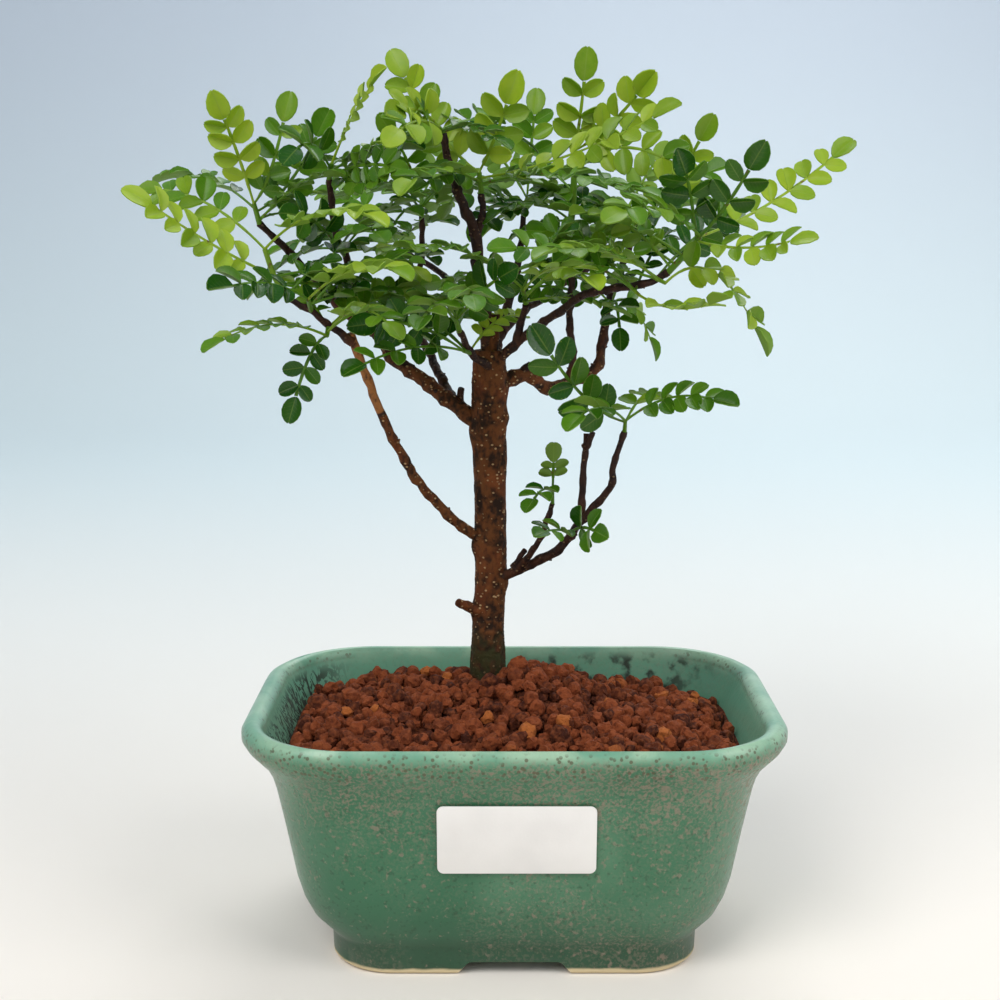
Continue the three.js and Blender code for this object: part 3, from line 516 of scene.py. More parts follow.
class Nodes:
    """A short hand for laying out one material's nodes."""

    def __init__(self, name: str) -> None:
        """Starts an empty material.

        Args:
            name: The material's name.
        """
        self.material = bpy.data.materials.new(name)
        self.material.use_nodes = True
        self.tree = self.material.node_tree
        self.tree.nodes.clear()

    def node(self, kind: str, inputs: dict[str | int, object] | None = None,
             **settings: object) -> bpy.types.Node:
        """Adds a node.

        Args:
            kind: The node's type, without its ShaderNode start.
            inputs: What its sockets hold: a socket of another node, or a value.
            settings: The node's own properties.

        Returns:
            The node.
        """
        made = self.tree.nodes.new("ShaderNode" + kind)
        for key, value in settings.items():
            setattr(made, key, value)
        for key, value in (inputs or {}).items():
            if isinstance(value, Socket):
                self.tree.links.new(value, made.inputs[key])
            else:
                made.inputs[key].default_value = value
        return made

    def where(self) -> Socket:
        """Gives the object's own coordinates, in metres."""
        return self.node("TexCoord").outputs["Object"]

    def mark(self, name: str) -> Socket:
        """Gives a named number that the mesh carries."""
        return self.node("Attribute", attribute_name=name).outputs["Fac"]

    def maths(self, operation: str, first: object, second: object = 0.0) -> Socket:
        """Works out one number from two."""
        return self.node("Math", {0: first, 1: second}, operation=operation).outputs[0]

    def plus(self, first: object, second: object) -> Socket:
        """Adds two numbers."""
        return self.maths("ADD", first, second)

    def minus(self, first: object, second: object) -> Socket:
        """Takes the second number from the first."""
        return self.maths("SUBTRACT", first, second)

    def times(self, first: object, second: object) -> Socket:
        """Multiplies two numbers."""
        return self.maths("MULTIPLY", first, second)

    def between(self, value: object, low: float, high: float) -> Socket:
        """Maps a number smoothly to 0 below `low` and 1 above `high`."""
        made = self.node("MapRange", {"Value": value, "From Min": low, "From Max": high},
                         interpolation_type="SMOOTHSTEP")
        return made.outputs["Result"]

    def grain(self, scale: float, detail: float = 4.0, vector: object = None,
              distortion: float = 0.0) -> Socket:
        """Gives a soft random number that changes over the surface.

        Args:
            scale: How many of its waves fit a metre.
            detail: How many finer waves lie on them.
            vector: The coordinates that it follows, the object's own if none are given.
            distortion: How far the waves are drawn out of shape.

        Returns:
            The number, mostly between 0.3 and 0.7.
        """
        inputs = {"Vector": vector or self.where(), "Scale": scale, "Detail": detail,
                  "Distortion": distortion}
        return self.node("TexNoise", inputs).outputs["Fac"]

    def mixed(self, share: object, first: object, second: object,
              blend: str = "MIX") -> Socket:
        """Mixes two colours.

        Args:
            share: How much of the second colour there is, from 0 to 1.
            first: The colour at 0.
            second: The colour at 1.
            blend: How the second colour is laid on the first.

        Returns:
            The mixed colour.
        """
        made = self.node("Mix", data_type="RGBA", blend_type=blend)
        for key, value in ((0, share), (6, first), (7, second)):
            if isinstance(value, Socket):
                self.tree.links.new(value, made.inputs[key])
            else:
                made.inputs[key].default_value = value
        return made.outputs[2]

    def laid(self, colour: object, share: object, most: float, layer: Colour,
             blend: str = "MIX") -> Socket:
        """Lays one more colour over a surface.

        Args:
            colour: The colour so far.
            share: Where the layer lies, from 0 to 1.
            most: How much of the layer shows where it lies in full.
            layer: The layer's colour.
            blend: How it is laid on.

        Returns:
            The new colour.
        """
        return self.mixed(self.times(share, most), colour, tint(*layer), blend)

    def stretched(self, vector: Socket, along_z: float) -> Socket:
        """Scales the heights of coordinates, which draws a pattern out or presses it together."""
        return self.node("Mapping", {"Vector": vector, "Scale": (1.0, 1.0, along_z)}).outputs[0]

    def bumped(self, height: Socket, depth: float,
               strength: float = 1.0) -> Socket:
        """Gives the normal of a surface that a height raises by up to `depth` metres."""
        inputs = {"Height": height, "Distance": depth, "Strength": strength}
        return self.node("Bump", inputs).outputs["Normal"]

    def finish(self, shader: Socket) -> Material:
        """Joins the last shader to the material's output."""
        self.node("OutputMaterial", {"Surface": shader})
        return self.material


def tint(red: int, green: int, blue: int) -> tuple[float, float, float, float]:
    """Turns a colour as the eye sees it, 0 to 255, into the linear one that nodes use."""
    return (*((c / 255 / 12.92 if c <= 10 else ((c / 255 + 0.055) / 1.055) ** 2.4)
              for c in (red, green, blue)), 1.0)


@dataclass(frozen=True)
class LeafFinish:
    """Living leaflets: dark and glossy when old, yellow-green and thin when young."""

    old: Colour = (42, 96, 20)
    grown: Colour = (98, 148, 28)
    young: Colour = (176, 200, 54)
    underside: Colour = (138, 172, 72)
    vein: Colour = (158, 184, 88)
    node: Colour = (110, 60, 40)
    sunlit: Colour = (190, 215, 60)
    ribs_per_blade: float = 44.0
    glands_per_metre: float = 900.0
    thinness: float = 0.36

    def material(self) -> Material:
        """Lays out the leaf's nodes.

        Returns:
            A material that reads the marks youth, tone, under and stem, and the pattern's places.
        """
        n = Nodes("pepper_leaf")
        split = n.node("SeparateXYZ", {0: n.node("UVMap", uv_map="pattern").outputs["UV"]})
        along = split.outputs["X"]
        aside = n.maths("ABSOLUTE", split.outputs["Y"])
        stem = n.mark("stem")
        leafy = n.minus(1.0, stem)
        # The blade's green, by its age.
        youth = n.plus(n.mark("youth"), n.times(n.mark("tone"), 0.2))
        older = n.mixed(n.between(youth, 0.05, 0.5), tint(*self.old), tint(*self.grown))
        colour = n.mixed(n.between(youth, 0.5, 1.0), older, tint(*self.young))
        mottle = n.between(n.grain(420, 2), 0.35, 0.7)
        colour = n.laid(colour, mottle, 0.25, self.grown, "SOFT_LIGHT")
        # Its midrib and slanting ribs.
        slant = n.minus(along, n.times(aside, 0.22))
        ribs = n.between(n.maths("SINE", n.times(slant, self.ribs_per_blade)), 0.86, 1.0)
        ribs = n.times(ribs, n.between(aside, 0.95, 0.2))
        midrib = n.between(aside, 0.09, 0.03)
        veins = n.times(n.maths("MAXIMUM", n.times(ribs, 0.12), n.times(midrib, 0.3)), leafy)
        colour = n.laid(colour, veins, 1.0, self.vein)
        # Gland dots along its rim, a paler underside, and brown joints on the stems.
        cells = n.node("TexVoronoi", {"Vector": n.where(), "Scale": self.glands_per_metre})
        glands = n.between(cells.outputs["Distance"], 0.22, 0.1)
        rim = n.times(n.between(aside, 0.72, 0.95), leafy)
        colour = n.laid(colour, n.times(glands, rim), 0.7, self.vein)
        colour = n.laid(colour, n.mark("under"), 0.62, self.underside)
        joints = n.times(n.between(n.grain(700, 2), 0.62, 0.7), stem)
        colour = n.laid(colour, joints, 0.7, self.node)
        # Gloss on old leaves, and light through all of them.
        rough = n.plus(n.times(youth, 0.22), n.times(n.mark("under"), 0.2))
        rough = n.plus(0.17, rough)
        normal = n.bumped(n.minus(n.times(n.grain(900, 2), 0.4), veins), 0.00012, 0.6)
        skin = n.node("BsdfPrincipled", {"Base Color": colour, "Roughness": rough,
                                         "Normal": normal, "Specular IOR Level": 0.42})
        glow = n.mixed(0.55, colour, tint(*self.sunlit), "OVERLAY")
        through = n.node("BsdfTranslucent", {"Color": glow, "Normal": normal})
        both = n.node("MixShader", {0: self.thinness, 1: skin.outputs[0], 2: through.outputs[0]})
        return n.finish(both.outputs[0])


@dataclass(frozen=True)
class BarkFinish:
    """Bark: brown and dotted with pale pores on the trunk, nearly black on the twigs."""

    trunk: Colour = (102, 60, 29)
    trunk_dark: Colour = (38, 22, 12)
    rust: Colour = (134, 70, 34)
    twig: Colour = (34, 20, 20)
    tan: Colour = (150, 98, 52)
    pore: Colour = (206, 170, 126)
    root_dark: Colour = (36, 26, 18)
    moss: Colour = (52, 54, 26)
    root_dark_heights: Range = (0.083, 0.073)
    pores_per_metre: float = 600.0

    def material(self) -> Material:
        """Lays out the bark's nodes.

        Returns:
            A material that reads the mark age and the object's coordinates.
        """
        n = Nodes("pepper_bark")
        place = n.where()
        # Brown bark with dark blotches and rusty patches.
        streaks = n.grain(640, 6, n.stretched(place, 0.75), 0.2)
        broad = n.plus(streaks, n.times(n.grain(150, 5, place), 0.7))
        colour = n.mixed(n.between(broad, 0.68, 1.0), tint(*self.trunk_dark), tint(*self.trunk))
        colour = n.laid(colour, n.between(n.grain(110, 4, place), 0.5, 0.68), 0.45, self.rust)
        # Dark on the twigs, tan where the mark says so.
        age = n.mark("age")
        twiggy = n.between(age, 0.2, 0.75)
        colour = n.laid(colour, twiggy, 0.82, self.twig)
        tan = n.times(n.between(age, 1.2, 1.8), n.between(streaks, 0.2, 0.5))
        colour = n.laid(colour, tan, 1.0, self.tan)
        # Pale pores, fewer on the twigs.
        cells = n.node("TexVoronoi", {"Vector": n.stretched(place, 1.3),
                                      "Scale": self.pores_per_metre})
        pores = n.times(n.between(cells.outputs["Distance"], 0.27, 0.15),
                        n.between(n.grain(240, 2), 0.36, 0.5))
        bare = n.minus(0.85, n.times(twiggy, 0.62))
        colour = n.laid(colour, n.times(pores, bare), 1.0, self.pore)
        # Darker towards the root, and mossy there.
        height = n.node("SeparateXYZ", {0: place}).outputs["Z"]
        low = n.between(n.plus(height, n.times(n.grain(200, 4), 0.012)), *self.root_dark_heights)
        colour = n.laid(colour, low, 0.55, self.root_dark)
        moss = n.times(low, n.between(n.grain(420, 5), 0.3, 0.55))
        colour = n.laid(colour, moss, 0.85, self.moss)
        normal = n.bumped(n.plus(n.times(streaks, 0.9), n.times(pores, 0.6)), 0.0012, 0.9)
        rough = n.minus(0.82, n.times(twiggy, 0.2))
        skin = n.node("BsdfPrincipled", {"Base Color": colour, "Roughness": rough, "Normal": normal,
                                         "Specular IOR Level": 0.25})
        return n.finish(skin.outputs[0])


@dataclass(frozen=True)
class GlazeFinish:
    """The pot's green glaze: paler and speckled at the lip, darker at the foot.

    Heights are in metres above the ground, sides and ends in metres from the pot's middle.
    """

    body: Colour = (50, 107, 76)
    light: Colour = (92, 140, 110)
    rim: Colour = (104, 160, 134)
    pale: Colour = (158, 194, 166)
    deep: Colour = (26, 58, 38)
    ash: Colour = (146, 126, 112)
    speck: Colour = (84, 72, 50)
    clay: Colour = (214, 196, 158)
    dirt: Colour = (34, 28, 24)
    lip_heights: Range = (0.0575, 0.0612)
    wash_heights: Range = (0.056, 0.0605)
    low_heights: Range = (0.03, 0.008)
    foot_heights: Range = (0.012, 0.006)
    upper_heights: Range = (0.0, 0.052)
    ash_heights: Range = (0.03, 0.052)
    right_side: Range = (-0.03, 0.06)
    band_from: Range = (0.051, 0.0555)
    band_to: Range = (0.0612, 0.0595)
    inner_heights: Range = (0.0605, 0.057)
    thread_heights: Range = (0.059, 0.055)
    left_end: Range = (-0.045, -0.058)
    rear_wall: Range = (0.03, 0.043)
    rear_right: Range = (0.0, 0.01)
    clay_heights: Range = (0.0021, 0.0013)

    def material(self, middle: Vector) -> Material:
        """Lays out the glaze's nodes.

        Args:
            middle: The middle of the pot, from which the sides and ends are measured.

        Returns:
            A material that reads the mark inside and the object's coordinates.
        """
        n = Nodes("green_glaze")
        place = n.where()
        split = n.node("SeparateXYZ", {0: place})
        x = n.minus(split.outputs["X"], middle.x)
        y = n.minus(split.outputs["Y"], middle.y)
        height = split.outputs["Z"]
        inside = n.mark("inside")
        # The clouded green, pale at the lip and dark at the foot.
        cloud = n.between(n.grain(24, 5, place, 0.8), 0.35, 0.7)
        colour = n.mixed(n.times(cloud, 0.6), tint(*self.body), tint(*self.light))
        lip = n.between(n.plus(height, n.times(n.grain(90, 3), 0.0016)), *self.lip_heights)
        pale = n.maths("MAXIMUM", lip, n.times(inside, 0.9))
        outer = n.minus(1.0, n.times(pale, 0.9))
        wash = n.times(n.between(n.grain(55, 4, place, 1.2), 0.3, 0.72),
                       n.between(height, *self.wash_heights))
        colour = n.mixed(pale, colour, n.mixed(wash, tint(*self.rim), tint(*self.pale)))
        foot = n.plus(n.times(n.between(height, *self.low_heights), 0.34),
                      n.times(n.between(height, *self.foot_heights), 0.36))
        colour = n.laid(colour, foot, 1.0, self.deep)
        # A mist of ashy flecks, thickest under the lip and to the right.
        right = n.between(x, *self.right_side)
        crowded = n.between(n.grain(40, 4, place, 0.5), 0.4, 0.66)
        thick = n.plus(n.times(n.between(height, *self.ash_heights), 0.6), n.times(crowded, 0.3))
        thick = n.plus(thick, n.times(right, 0.18))
        mist = n.times(n.between(n.grain(1450, 5, place), 0.46, 0.62), thick)
        colour = n.laid(colour, n.times(mist, outer), 0.68, self.ash)
        # Larger ashy flecks and dark pits.
        crowd = n.plus(n.times(n.between(height, *self.upper_heights), 0.07), n.times(right, 0.04))
        crowd = n.plus(crowd, n.times(n.grain(45, 3), 0.16))
        ash = n.between(n.plus(n.grain(700, 5, place, 0.2), crowd), 0.69, 0.84)
        ash = n.times(ash, outer)
        colour = n.laid(colour, ash, 0.6, self.ash)
        pits = n.times(n.between(n.grain(900, 5, place), 0.55, 0.72), outer)
        colour = n.laid(colour, pits, 0.5, self.deep)
        # A band of brown specks round the lip.
        band = n.times(n.between(height, *self.band_from), n.between(height, *self.band_to))
        band = n.times(band, n.minus(1.0, inside))
        dots = n.node("TexVoronoi", {"Vector": place, "Scale": 720.0})
        specks = n.times(n.between(dots.outputs["Distance"], 0.4, 0.26),
                         n.between(n.grain(280, 2, place), 0.36, 0.48))
        colour = n.laid(colour, n.times(specks, band), 0.75, self.speck)
        # Root threads on the inner left wall and smudges on the inner right back.
        threads = n.between(n.grain(360, 5, n.stretched(place, 0.4), 2.5), 0.47, 0.52)
        threads = n.times(threads, n.between(x, *self.left_end))
        threads = n.times(threads, n.between(height, *self.thread_heights))
        rear = n.times(n.between(y, *self.rear_wall), n.between(x, *self.rear_right))
        smudge = n.times(n.between(n.grain(170, 8), 0.48, 0.6), rear)
        inner = n.times(inside, n.between(height, *self.inner_heights))
        dirt = n.times(inner, n.maths("MAXIMUM", threads, smudge))
        colour = n.laid(colour, dirt, 0.9, self.dirt)
        # Bare clay under the foot, then what dulls and roughens the glaze.
        bare = n.between(n.plus(height, n.times(n.grain(160, 3), 0.0012)), *self.clay_heights)
        colour = n.laid(colour, bare, 1.0, self.clay)
        dull = n.maths("MAXIMUM", n.maths("MAXIMUM", bare, dirt), n.times(ash, 0.5))
        rough = n.plus(n.plus(0.24, n.times(dull, 0.5)), n.times(n.grain(70, 3), 0.12))
        normal = n.bumped(n.plus(n.times(n.grain(85, 4), 0.8), n.times(ash, 0.25)), 0.0007, 0.5)
        skin = n.node("BsdfPrincipled", {"Base Color": colour, "Roughness": rough,
                                         "Normal": normal})
        return n.finish(skin.outputs[0])


@dataclass(frozen=True)
class GranuleFinish:
    """Baked clay granules, red-brown with a few orange and dark ones, and darker in the gaps as
    painted shade.
    """

    main: Colour = (127, 63, 35)
    warm: Colour = (172, 98, 48)
    dark: Colour = (64, 30, 20)
    grit: Colour = (150, 82, 48)

    def material(self) -> Material:
        """Lays out the granules' nodes.

        Returns:
            A material that reads the mark tone, one number for each granule: random, but lower in the
            lower layers and on the body, as painted shade.
        """
        n = Nodes("clay_granules")
        tone = n.mark("tone")
        grit = n.grain(760, 6)
        # Low tones are dark: a few darker granules, and painted shade in the lower layers and on the
        # body.
        colour = n.mixed(n.between(tone, 0.0, 0.55), tint(*self.dark), tint(*self.main))
        colour = n.laid(colour, n.between(tone, 0.9, 0.96), 1.0, self.warm)
        colour = n.laid(colour, n.between(grit, 0.4, 0.7), 0.5, self.grit)
        colour = n.laid(colour, n.between(grit, 0.45, 0.3), 0.5, self.dark)
        skin = n.node("BsdfPrincipled", {"Base Color": colour, "Roughness": 0.95,
                                         "Normal": n.bumped(grit, 0.001, 1.0),
                                         "Specular IOR Level": 0.2})
        return n.finish(skin.outputs[0])


@dataclass(frozen=True)
class CardFinish:
    """The bare white card."""

    white: Colour = (240, 239, 238)
    shade: Colour = (222, 221, 220)

    def material(self) -> Material:
        """Lays out the card's nodes.

        Returns:
            A white with the faintest clouding.
        """
        n = Nodes("white_card")
        cloud = n.between(n.grain(45, 3), 0.4, 0.7)
        colour = n.mixed(n.times(cloud, 0.5), tint(*self.white), tint(*self.shade))
        normal = n.bumped(n.grain(1400, 3), 0.00005, 0.5)
        skin = n.node("BsdfPrincipled", {"Base Color": colour, "Roughness": 0.42, "Normal": normal})
        return n.finish(skin.outputs[0])


@dataclass(frozen=True)
class SweepFinish:
    """The pale floor that turns up into a light blue-grey backdrop."""

    floor: Colour = (252, 242, 232)
    haze: Colour = (221, 234, 237)
    sky: Colour = (206, 216, 229)
    # Multiplied in towards the left as painted shade.
    left: Colour = (243, 244, 245)
    haze_from_to: Range = (-0.1, 0.25)
    sky_from_to: Range = (0.2, 1.05)
    left_painted_shade_from_to: Range = (0.4, -0.4)

    def material(self) -> Material:
        """Lays out the sweep's nodes.

        Returns:
            A dull material, coloured by how far back and how high a place is, with painted shade on
            the left.
        """
        n = Nodes("pale_sweep")
        split = n.node("SeparateXYZ", {0: n.where()})
        far = n.plus(n.times(split.outputs["Y"], 0.3), split.outputs["Z"])
        colour = n.mixed(n.between(far, *self.haze_from_to), tint(*self.floor), tint(*self.haze))
        colour = n.laid(colour, n.between(far, *self.sky_from_to), 1.0, self.sky)
        # Painted shade: the sweep is multiplied darker towards the left.
        side = n.between(split.outputs["X"], *self.left_painted_shade_from_to)
        colour = n.laid(colour, side, 1.0, self.left, "MULTIPLY")
        skin = n.node("BsdfPrincipled", {"Base Color": colour, "Roughness": 0.9,
                                         "Specular IOR Level": 0.1})
        return n.finish(skin.outputs[0])


@dataclass
class Pot:
    """The glazed pot: a rounded rectangle that widens to a rolled lip, on a cut-away foot."""

    ground: Ground
    half_x: float = 46.6
    half_y: float = 36.4
    corner: float = 15.5
    depth_per_width: float = 0.44
    corner_per_width: float = 0.539
    arc_steps: int = 16
    foot_height: float = 3.0
    recess_half: float = 40.0
    slot_front: Point = (15.0, 11.5, 1.2)
    slot_side: Point = (11.0, 8.0, 1.2)
    slot_reach: float = 90.0
    overlap: float = 0.01
    below: float = -1.0
    drains_x: tuple[float, float] = (-22.0, 22.0)
    drain_radius: float = 5.0
    drain_steps: int = 40
    drain_span: tuple[float, float] = (1.0, 12.0)
    inner_floor: float = 8.5
    wall_play: float = 0.5
    outside: tuple[tuple[float, float], ...] = (
        (45.9, 0), (46.6, 0.6), (46.8, 6.2), (47.6, 7.6), (51.9, 11.7), (54.2, 16), (55.8, 21.2),
        (58.2, 33.4), (59.6, 40), (60.6, 44.6), (61.6, 47.8), (63.2, 50.6), (65.5, 52.8),
        (67.7, 54.9), (69, 57), (69, 58.8), (68, 60.4), (66.4, 61.2), (64.9, 61), (63.8, 60))
    inside: tuple[tuple[float, float], ...] = (
        (63, 58), (61.6, 55), (60, 51), (57, 44), (54.4, 33), (52, 21), (48, 13), (43, 9))

    def sides(self, half_x: float) -> tuple[float, float]:
        """Gives the pot's half-depth and corner radius where it has one half-width."""
        grown = half_x - self.half_x
        return (self.half_y + grown * self.depth_per_width,
                self.corner + grown * self.corner_per_width)

    def ring(self, half_x: float, height: float) -> list[Vector]:
        """Gives the pot's rounded rectangle at one height.

        Args:
            half_x: Half of its width, in millimetres.
            height: Its height, in millimetres.

        Returns:
            Its points in the frame, anticlockwise from above.
        """
        half_y, corner = self.sides(half_x)
        points = []
        for quarter, (side_x, side_y) in enumerate(((1, 1), (-1, 1), (-1, -1), (1, -1))):
            for step in range(self.arc_steps + 1):
                angle = (quarter + step / self.arc_steps) * math.pi / 2
                points.append(self.ground.metres((
                    side_x * (half_x - corner) + corner * math.cos(angle),
                    side_y * (half_y - corner) + corner * math.sin(angle), height)))
        return points

    def shell(self) -> Piece:
        """Raises the wall ring by ring, from under the foot, over the lip and down inside.

        Returns:
            The closed shell without its cuts.
        """
        rings = [self.ring(*row) for row in (*self.outside, *self.inside)]
        return raised("glazed_pot", rings, 40)

    def cutter(self, outline: list[Vector], low: float, high: float) -> Piece:
        """Makes an upright solid to cut with.

        Args:
            outline: The outline's points in the frame, at any height.
            low: Its lower height, in millimetres.
            high: Its upper height, in millimetres.

        Returns:
            The closed cutter.
        """
        rings = [[Vector((p.x, p.y, z * MM)) for p in outline] for z in (low, high)]
        return raised("cutter", rings, 30)

    def slot(self, half_low: float, half_high: float, rounding: float, turned: bool) -> Piece:
        """Makes the long wedge that opens the foot in the middle of two sides.

        Args:
            half_low: Half of its width on the ground, in millimetres.
            half_high: Half of its width at its top, in millimetres.
            rounding: How far its edges are rounded, in millimetres.
            turned: Whether it runs along x in place of y.

        Returns:
            The closed cutter.
        """
        bpy.ops.mesh.primitive_cube_add(size=1)
        wedge = added("cutter")
        for vertex in wedge.data.vertices:
            top = vertex.co.z > 0
            width = math.copysign(half_high if top else half_low, vertex.co.x)
            reach = math.copysign(self.slot_reach, vertex.co.y)
            height = self.foot_height + self.overlap if top else self.below
            place = (reach, -width, height) if turned else (width, reach, height)
            vertex.co = self.ground.metres(place)
        press(wedge, "BEVEL", width=rounding * MM, segments=3, limit_method="ANGLE")
        return wedge

    def build(self) -> Piece:
        """Makes the finished pot.

        Returns:
            The pot with its foot, its underside and its two drain holes cut.
        """
        pot = self.shell()
        angles = [FULL_TURN * i / self.drain_steps for i in range(self.drain_steps)]
        drains = [self.cutter([self.ground.metres((x + self.drain_radius * math.cos(angle),
                                                   self.drain_radius * math.sin(angle), 0))
                               for angle in angles], *self.drain_span) for x in self.drains_x]
        recess = self.cutter(self.ring(self.recess_half, 0), self.below, self.foot_height)
        slots = [self.slot(*self.slot_front, turned=False), self.slot(*self.slot_side, turned=True)]
        for cut in (recess, *slots, *drains):
            press(pot, "BOOLEAN", operation="DIFFERENCE", object=cut, solver="EXACT")
            bpy.data.objects.remove(cut)
        self.mark_inside(pot)
        shade(pot, 40)
        return pot

    def mark_inside(self, pot: Piece) -> None:
        """Marks the vertices of the inner wall for the glaze.

        Args:
            pot: The finished pot.
        """
        walls, heights = zip(*self.inside[::-1])
        inner = []
        for vertex in pot.data.vertices:
            point = self.ground.rows(vertex.co)
            wall = float(np.interp(point.z, heights, walls))
            inner.append(point.z > self.inner_floor and self.beyond(point, wall) < self.wall_play)
        mark(pot, "inside", inner)

    def beyond(self, point: Vector, half_x: float) -> float:
        """Measures how far a point lies outside the rounded rectangle of one half-width.

        Args:
            point: The point, in millimetres from the pot's middle.
            half_x: The rectangle's half-width.

        Returns:
            The distance in millimetres, less than nothing inside.
        """
        half_y, corner = self.sides(half_x)
        away_x = abs(point.x) - (half_x - corner)
        away_y = abs(point.y) - (half_y - corner)
        outer = math.hypot(max(away_x, 0.0), max(away_y, 0.0))
        return outer + min(max(away_x, away_y), 0.0) - corner


@dataclass
class Soil:
    """The heap of clay granules, on a rough dome that fills the pot."""

    ground: Ground
    pot: Pot
    trunk: tuple[float, float] = (-7.0, 16.0)
    hole: float = 5.4
    foot_z: float = 48.2
    edge_half: float = 59.3
    edge_z: float = 50.5
    under_rows: tuple[tuple[float, float], ...] = (
        (42.5, 9.3), (47.5, 13.1), (51.5, 21), (53.9, 33), (56.5, 44), (59.2, 49.5))
    body_sunk: float = 1.6
    body_painted_shade_tone: float = 0.12
    hole_sunk: float = 1.0
    rise: float = 8.5
    dome_rings: int = 22
    trunk_half: float = 4.7
    lean: float = 0.028
    mound: float = 6.0
    mound_at: tuple[float, float] = (4.5, 7.5)
    mound_reach: float = 13.0
    spacing: float = 3.5
    layers: int = 3
    upper_share: float = 0.5
    smallest: float = 1.1
    usual: float = 1.6
    largest: float = 3.0
    kinds: int = 8
    flatness: float = 0.88
    jitter: float = 0.42
    row_apart: float = 0.87
    margin: float = 0.1
    bedded: float = 0.6
    layer_step: Range = (0.6, 1.5)
    tone_most: float = 0.62
    painted_gap_shade_per_layer: float = 0.19
    halvings: int = 14
    least_left: float = 0.01
    # Uneven growth: how high, and how many waves there are to a millimetre or metre.
    swells: tuple[Range, ...] = ((1.1, 0.09), (0.8, 0.21))
    roughness: tuple[Range, ...] = ((0.9, 260), (0.5, 700))
    seed: int = 23

    def height(self, point: Vector, share: float) -> float:
        """Gives the heap's height at a place.

        Args:
            point: The place, in millimetres from the pot's middle.
            share: How far it is on its way from the heap's edge to the trunk.

        Returns:
            The height in millimetres.
        """
        away = (point.xy - Vector(self.mound_at)).length / self.mound_reach
        dome = self.rise * math.sin(share * math.pi / 2)
        sunk = self.lean * max(0.0, point.x + point.y)
        return self.edge_z + dome - sunk + self.mound * math.exp(-away ** 2)

    def dome(self) -> Piece:
        """Makes the rough body under the loose granules, dark as painted shade in the gaps between
        them.

        Returns:
            The closed body, from the pot's floor to just under the heap's surface, with a hole
            that the trunk stands in.
        """
        rings = [self.pot.ring(*row) for row in self.under_rows]
        centre = self.ground.metres((*self.trunk, 0))
        edge = self.pot.ring(self.edge_half, self.edge_z)
        hole = [centre + (rim - centre).to_2d().to_3d().normalized() * self.hole * MM
                for rim in edge]
        for step in range(1, self.dome_rings):
            share = step / self.dome_rings
            ring = []
            for rim, inner in zip(edge, hole):
                point = rim.lerp(inner, share)
                rough = sum(noise.noise(point * waves) * high for high, waves in self.roughness)
                place = self.ground.rows(point)
                point.z = (self.height(place, share) - self.body_sunk + rough) * MM
                ring.append(point)
            rings.append(ring)
        tops = [self.height(self.ground.rows(p), 1.0) - self.hole_sunk for p in hole]
        rings.append([Vector((p.x, p.y, top * MM)) for p, top in zip(hole, tops)])
        rings.append([Vector((p.x, p.y, self.foot_z * MM)) for p in hole])
        body = raised("soil_body", rings, 30)
        # A low tone darkens the body: painted shade seen between the granules.
        mark(body, "tone", self.body_painted_shade_tone)
        return body

    def masters(self) -> list[tuple[np.ndarray, Faces]]:
        """Models a few granules, each broken off a ball in its own way.

        Returns:
            The vertices and faces of each, about one unit across its half.
        """
        shapes = []
        for number in range(self.kinds):
            bpy.ops.mesh.primitive_ico_sphere_add(subdivisions=2, radius=1)
            ball = added("granule")
            for vertex in ball.data.vertices:
                place = vertex.co + Vector((number * 7.3, number * 1.9, 0))
                swell = 0.9 + 0.34 * noise.noise(place * 1.3) + 0.26 * noise.noise(place * 3.1)
                vertex.co *= swell
                vertex.co.x *= 1.0 + 0.04 * number
                vertex.co.z *= self.flatness
            shapes.append(taken(ball))
        return shapes

    def share(self, point: Vector) -> float:
        """Finds how far a place is on its way from the heap's edge to the trunk.

        Args:
            point: The place, in millimetres from the pot's middle.

        Returns:
            0 on the edge, 1 at the trunk.
        """
        centre = Vector((*self.trunk, 0))
        low, high = 0.0, 1.0
        for _ in range(self.halvings):
            middle = (low + high) / 2
            if self.pot.beyond(centre + (point - centre) / max(1 - middle, self.least_left),
                               self.edge_half) > 0:
                high = middle
            else:
                low = middle
        return low

    def loose(self) -> Piece:
        """Scatters the granules evenly over the dome, in more than one layer.

        Returns:
            All the granules as one piece.
        """
        draw = random.Random(self.seed)
        shapes = self.masters()
        heap = Gathering()
        across = int(self.edge_half / self.spacing) + 1
        for layer in range(self.layers):
            for column in range(-across, across + 1):
                for row in range(-across, across + 1):
                    aside = column + 0.5 * (row % 2) + draw.uniform(-self.jitter, self.jitter)
                    ahead = self.row_apart * row + draw.uniform(-self.jitter, self.jitter)
                    point = Vector((aside, ahead, 0)) * self.spacing
                    size = draw.triangular(self.smallest, self.largest, self.usual)
                    if layer and draw.random() > self.upper_share:
                        continue
                    around = (point.xy - Vector(self.trunk)).length
                    edge = self.pot.beyond(point, self.edge_half)
                    if edge > -size - self.margin or around < self.trunk_half + size:
                        continue
                    top = self.height(point, self.share(point))
                    swell = sum(high * noise.noise(point * waves) for high, waves in self.swells)
                    point.z = top - self.bedded + swell + layer * draw.uniform(*self.layer_step)
                    turned = Euler([draw.random() * RANDOM_TURN for _ in range(3)]).to_matrix()
                    shape, faces = shapes[draw.randrange(len(shapes))]
                    placed = shape @ np.array(turned).T * size * MM
                    placed += np.array(self.ground.metres(point))
                    # Lower layers get lower, darker tones: painted shade in the gaps between granules.
                    tone = draw.random() * (self.tone_most + self.painted_gap_shade_per_layer * layer)
                    heap.lay(placed, faces, np.zeros((len(placed), 2)), tone=tone)
        return heap.piece("clay_granules", 33)

    def build(self) -> Piece:
        """Makes the heap: the rough body joined with its granules.

        Returns:
            The soil as one piece.
        """
        body = self.dome()
        heap = self.loose()
        only(body)
        heap.select_set(True)
        bpy.ops.object.join()
        return body


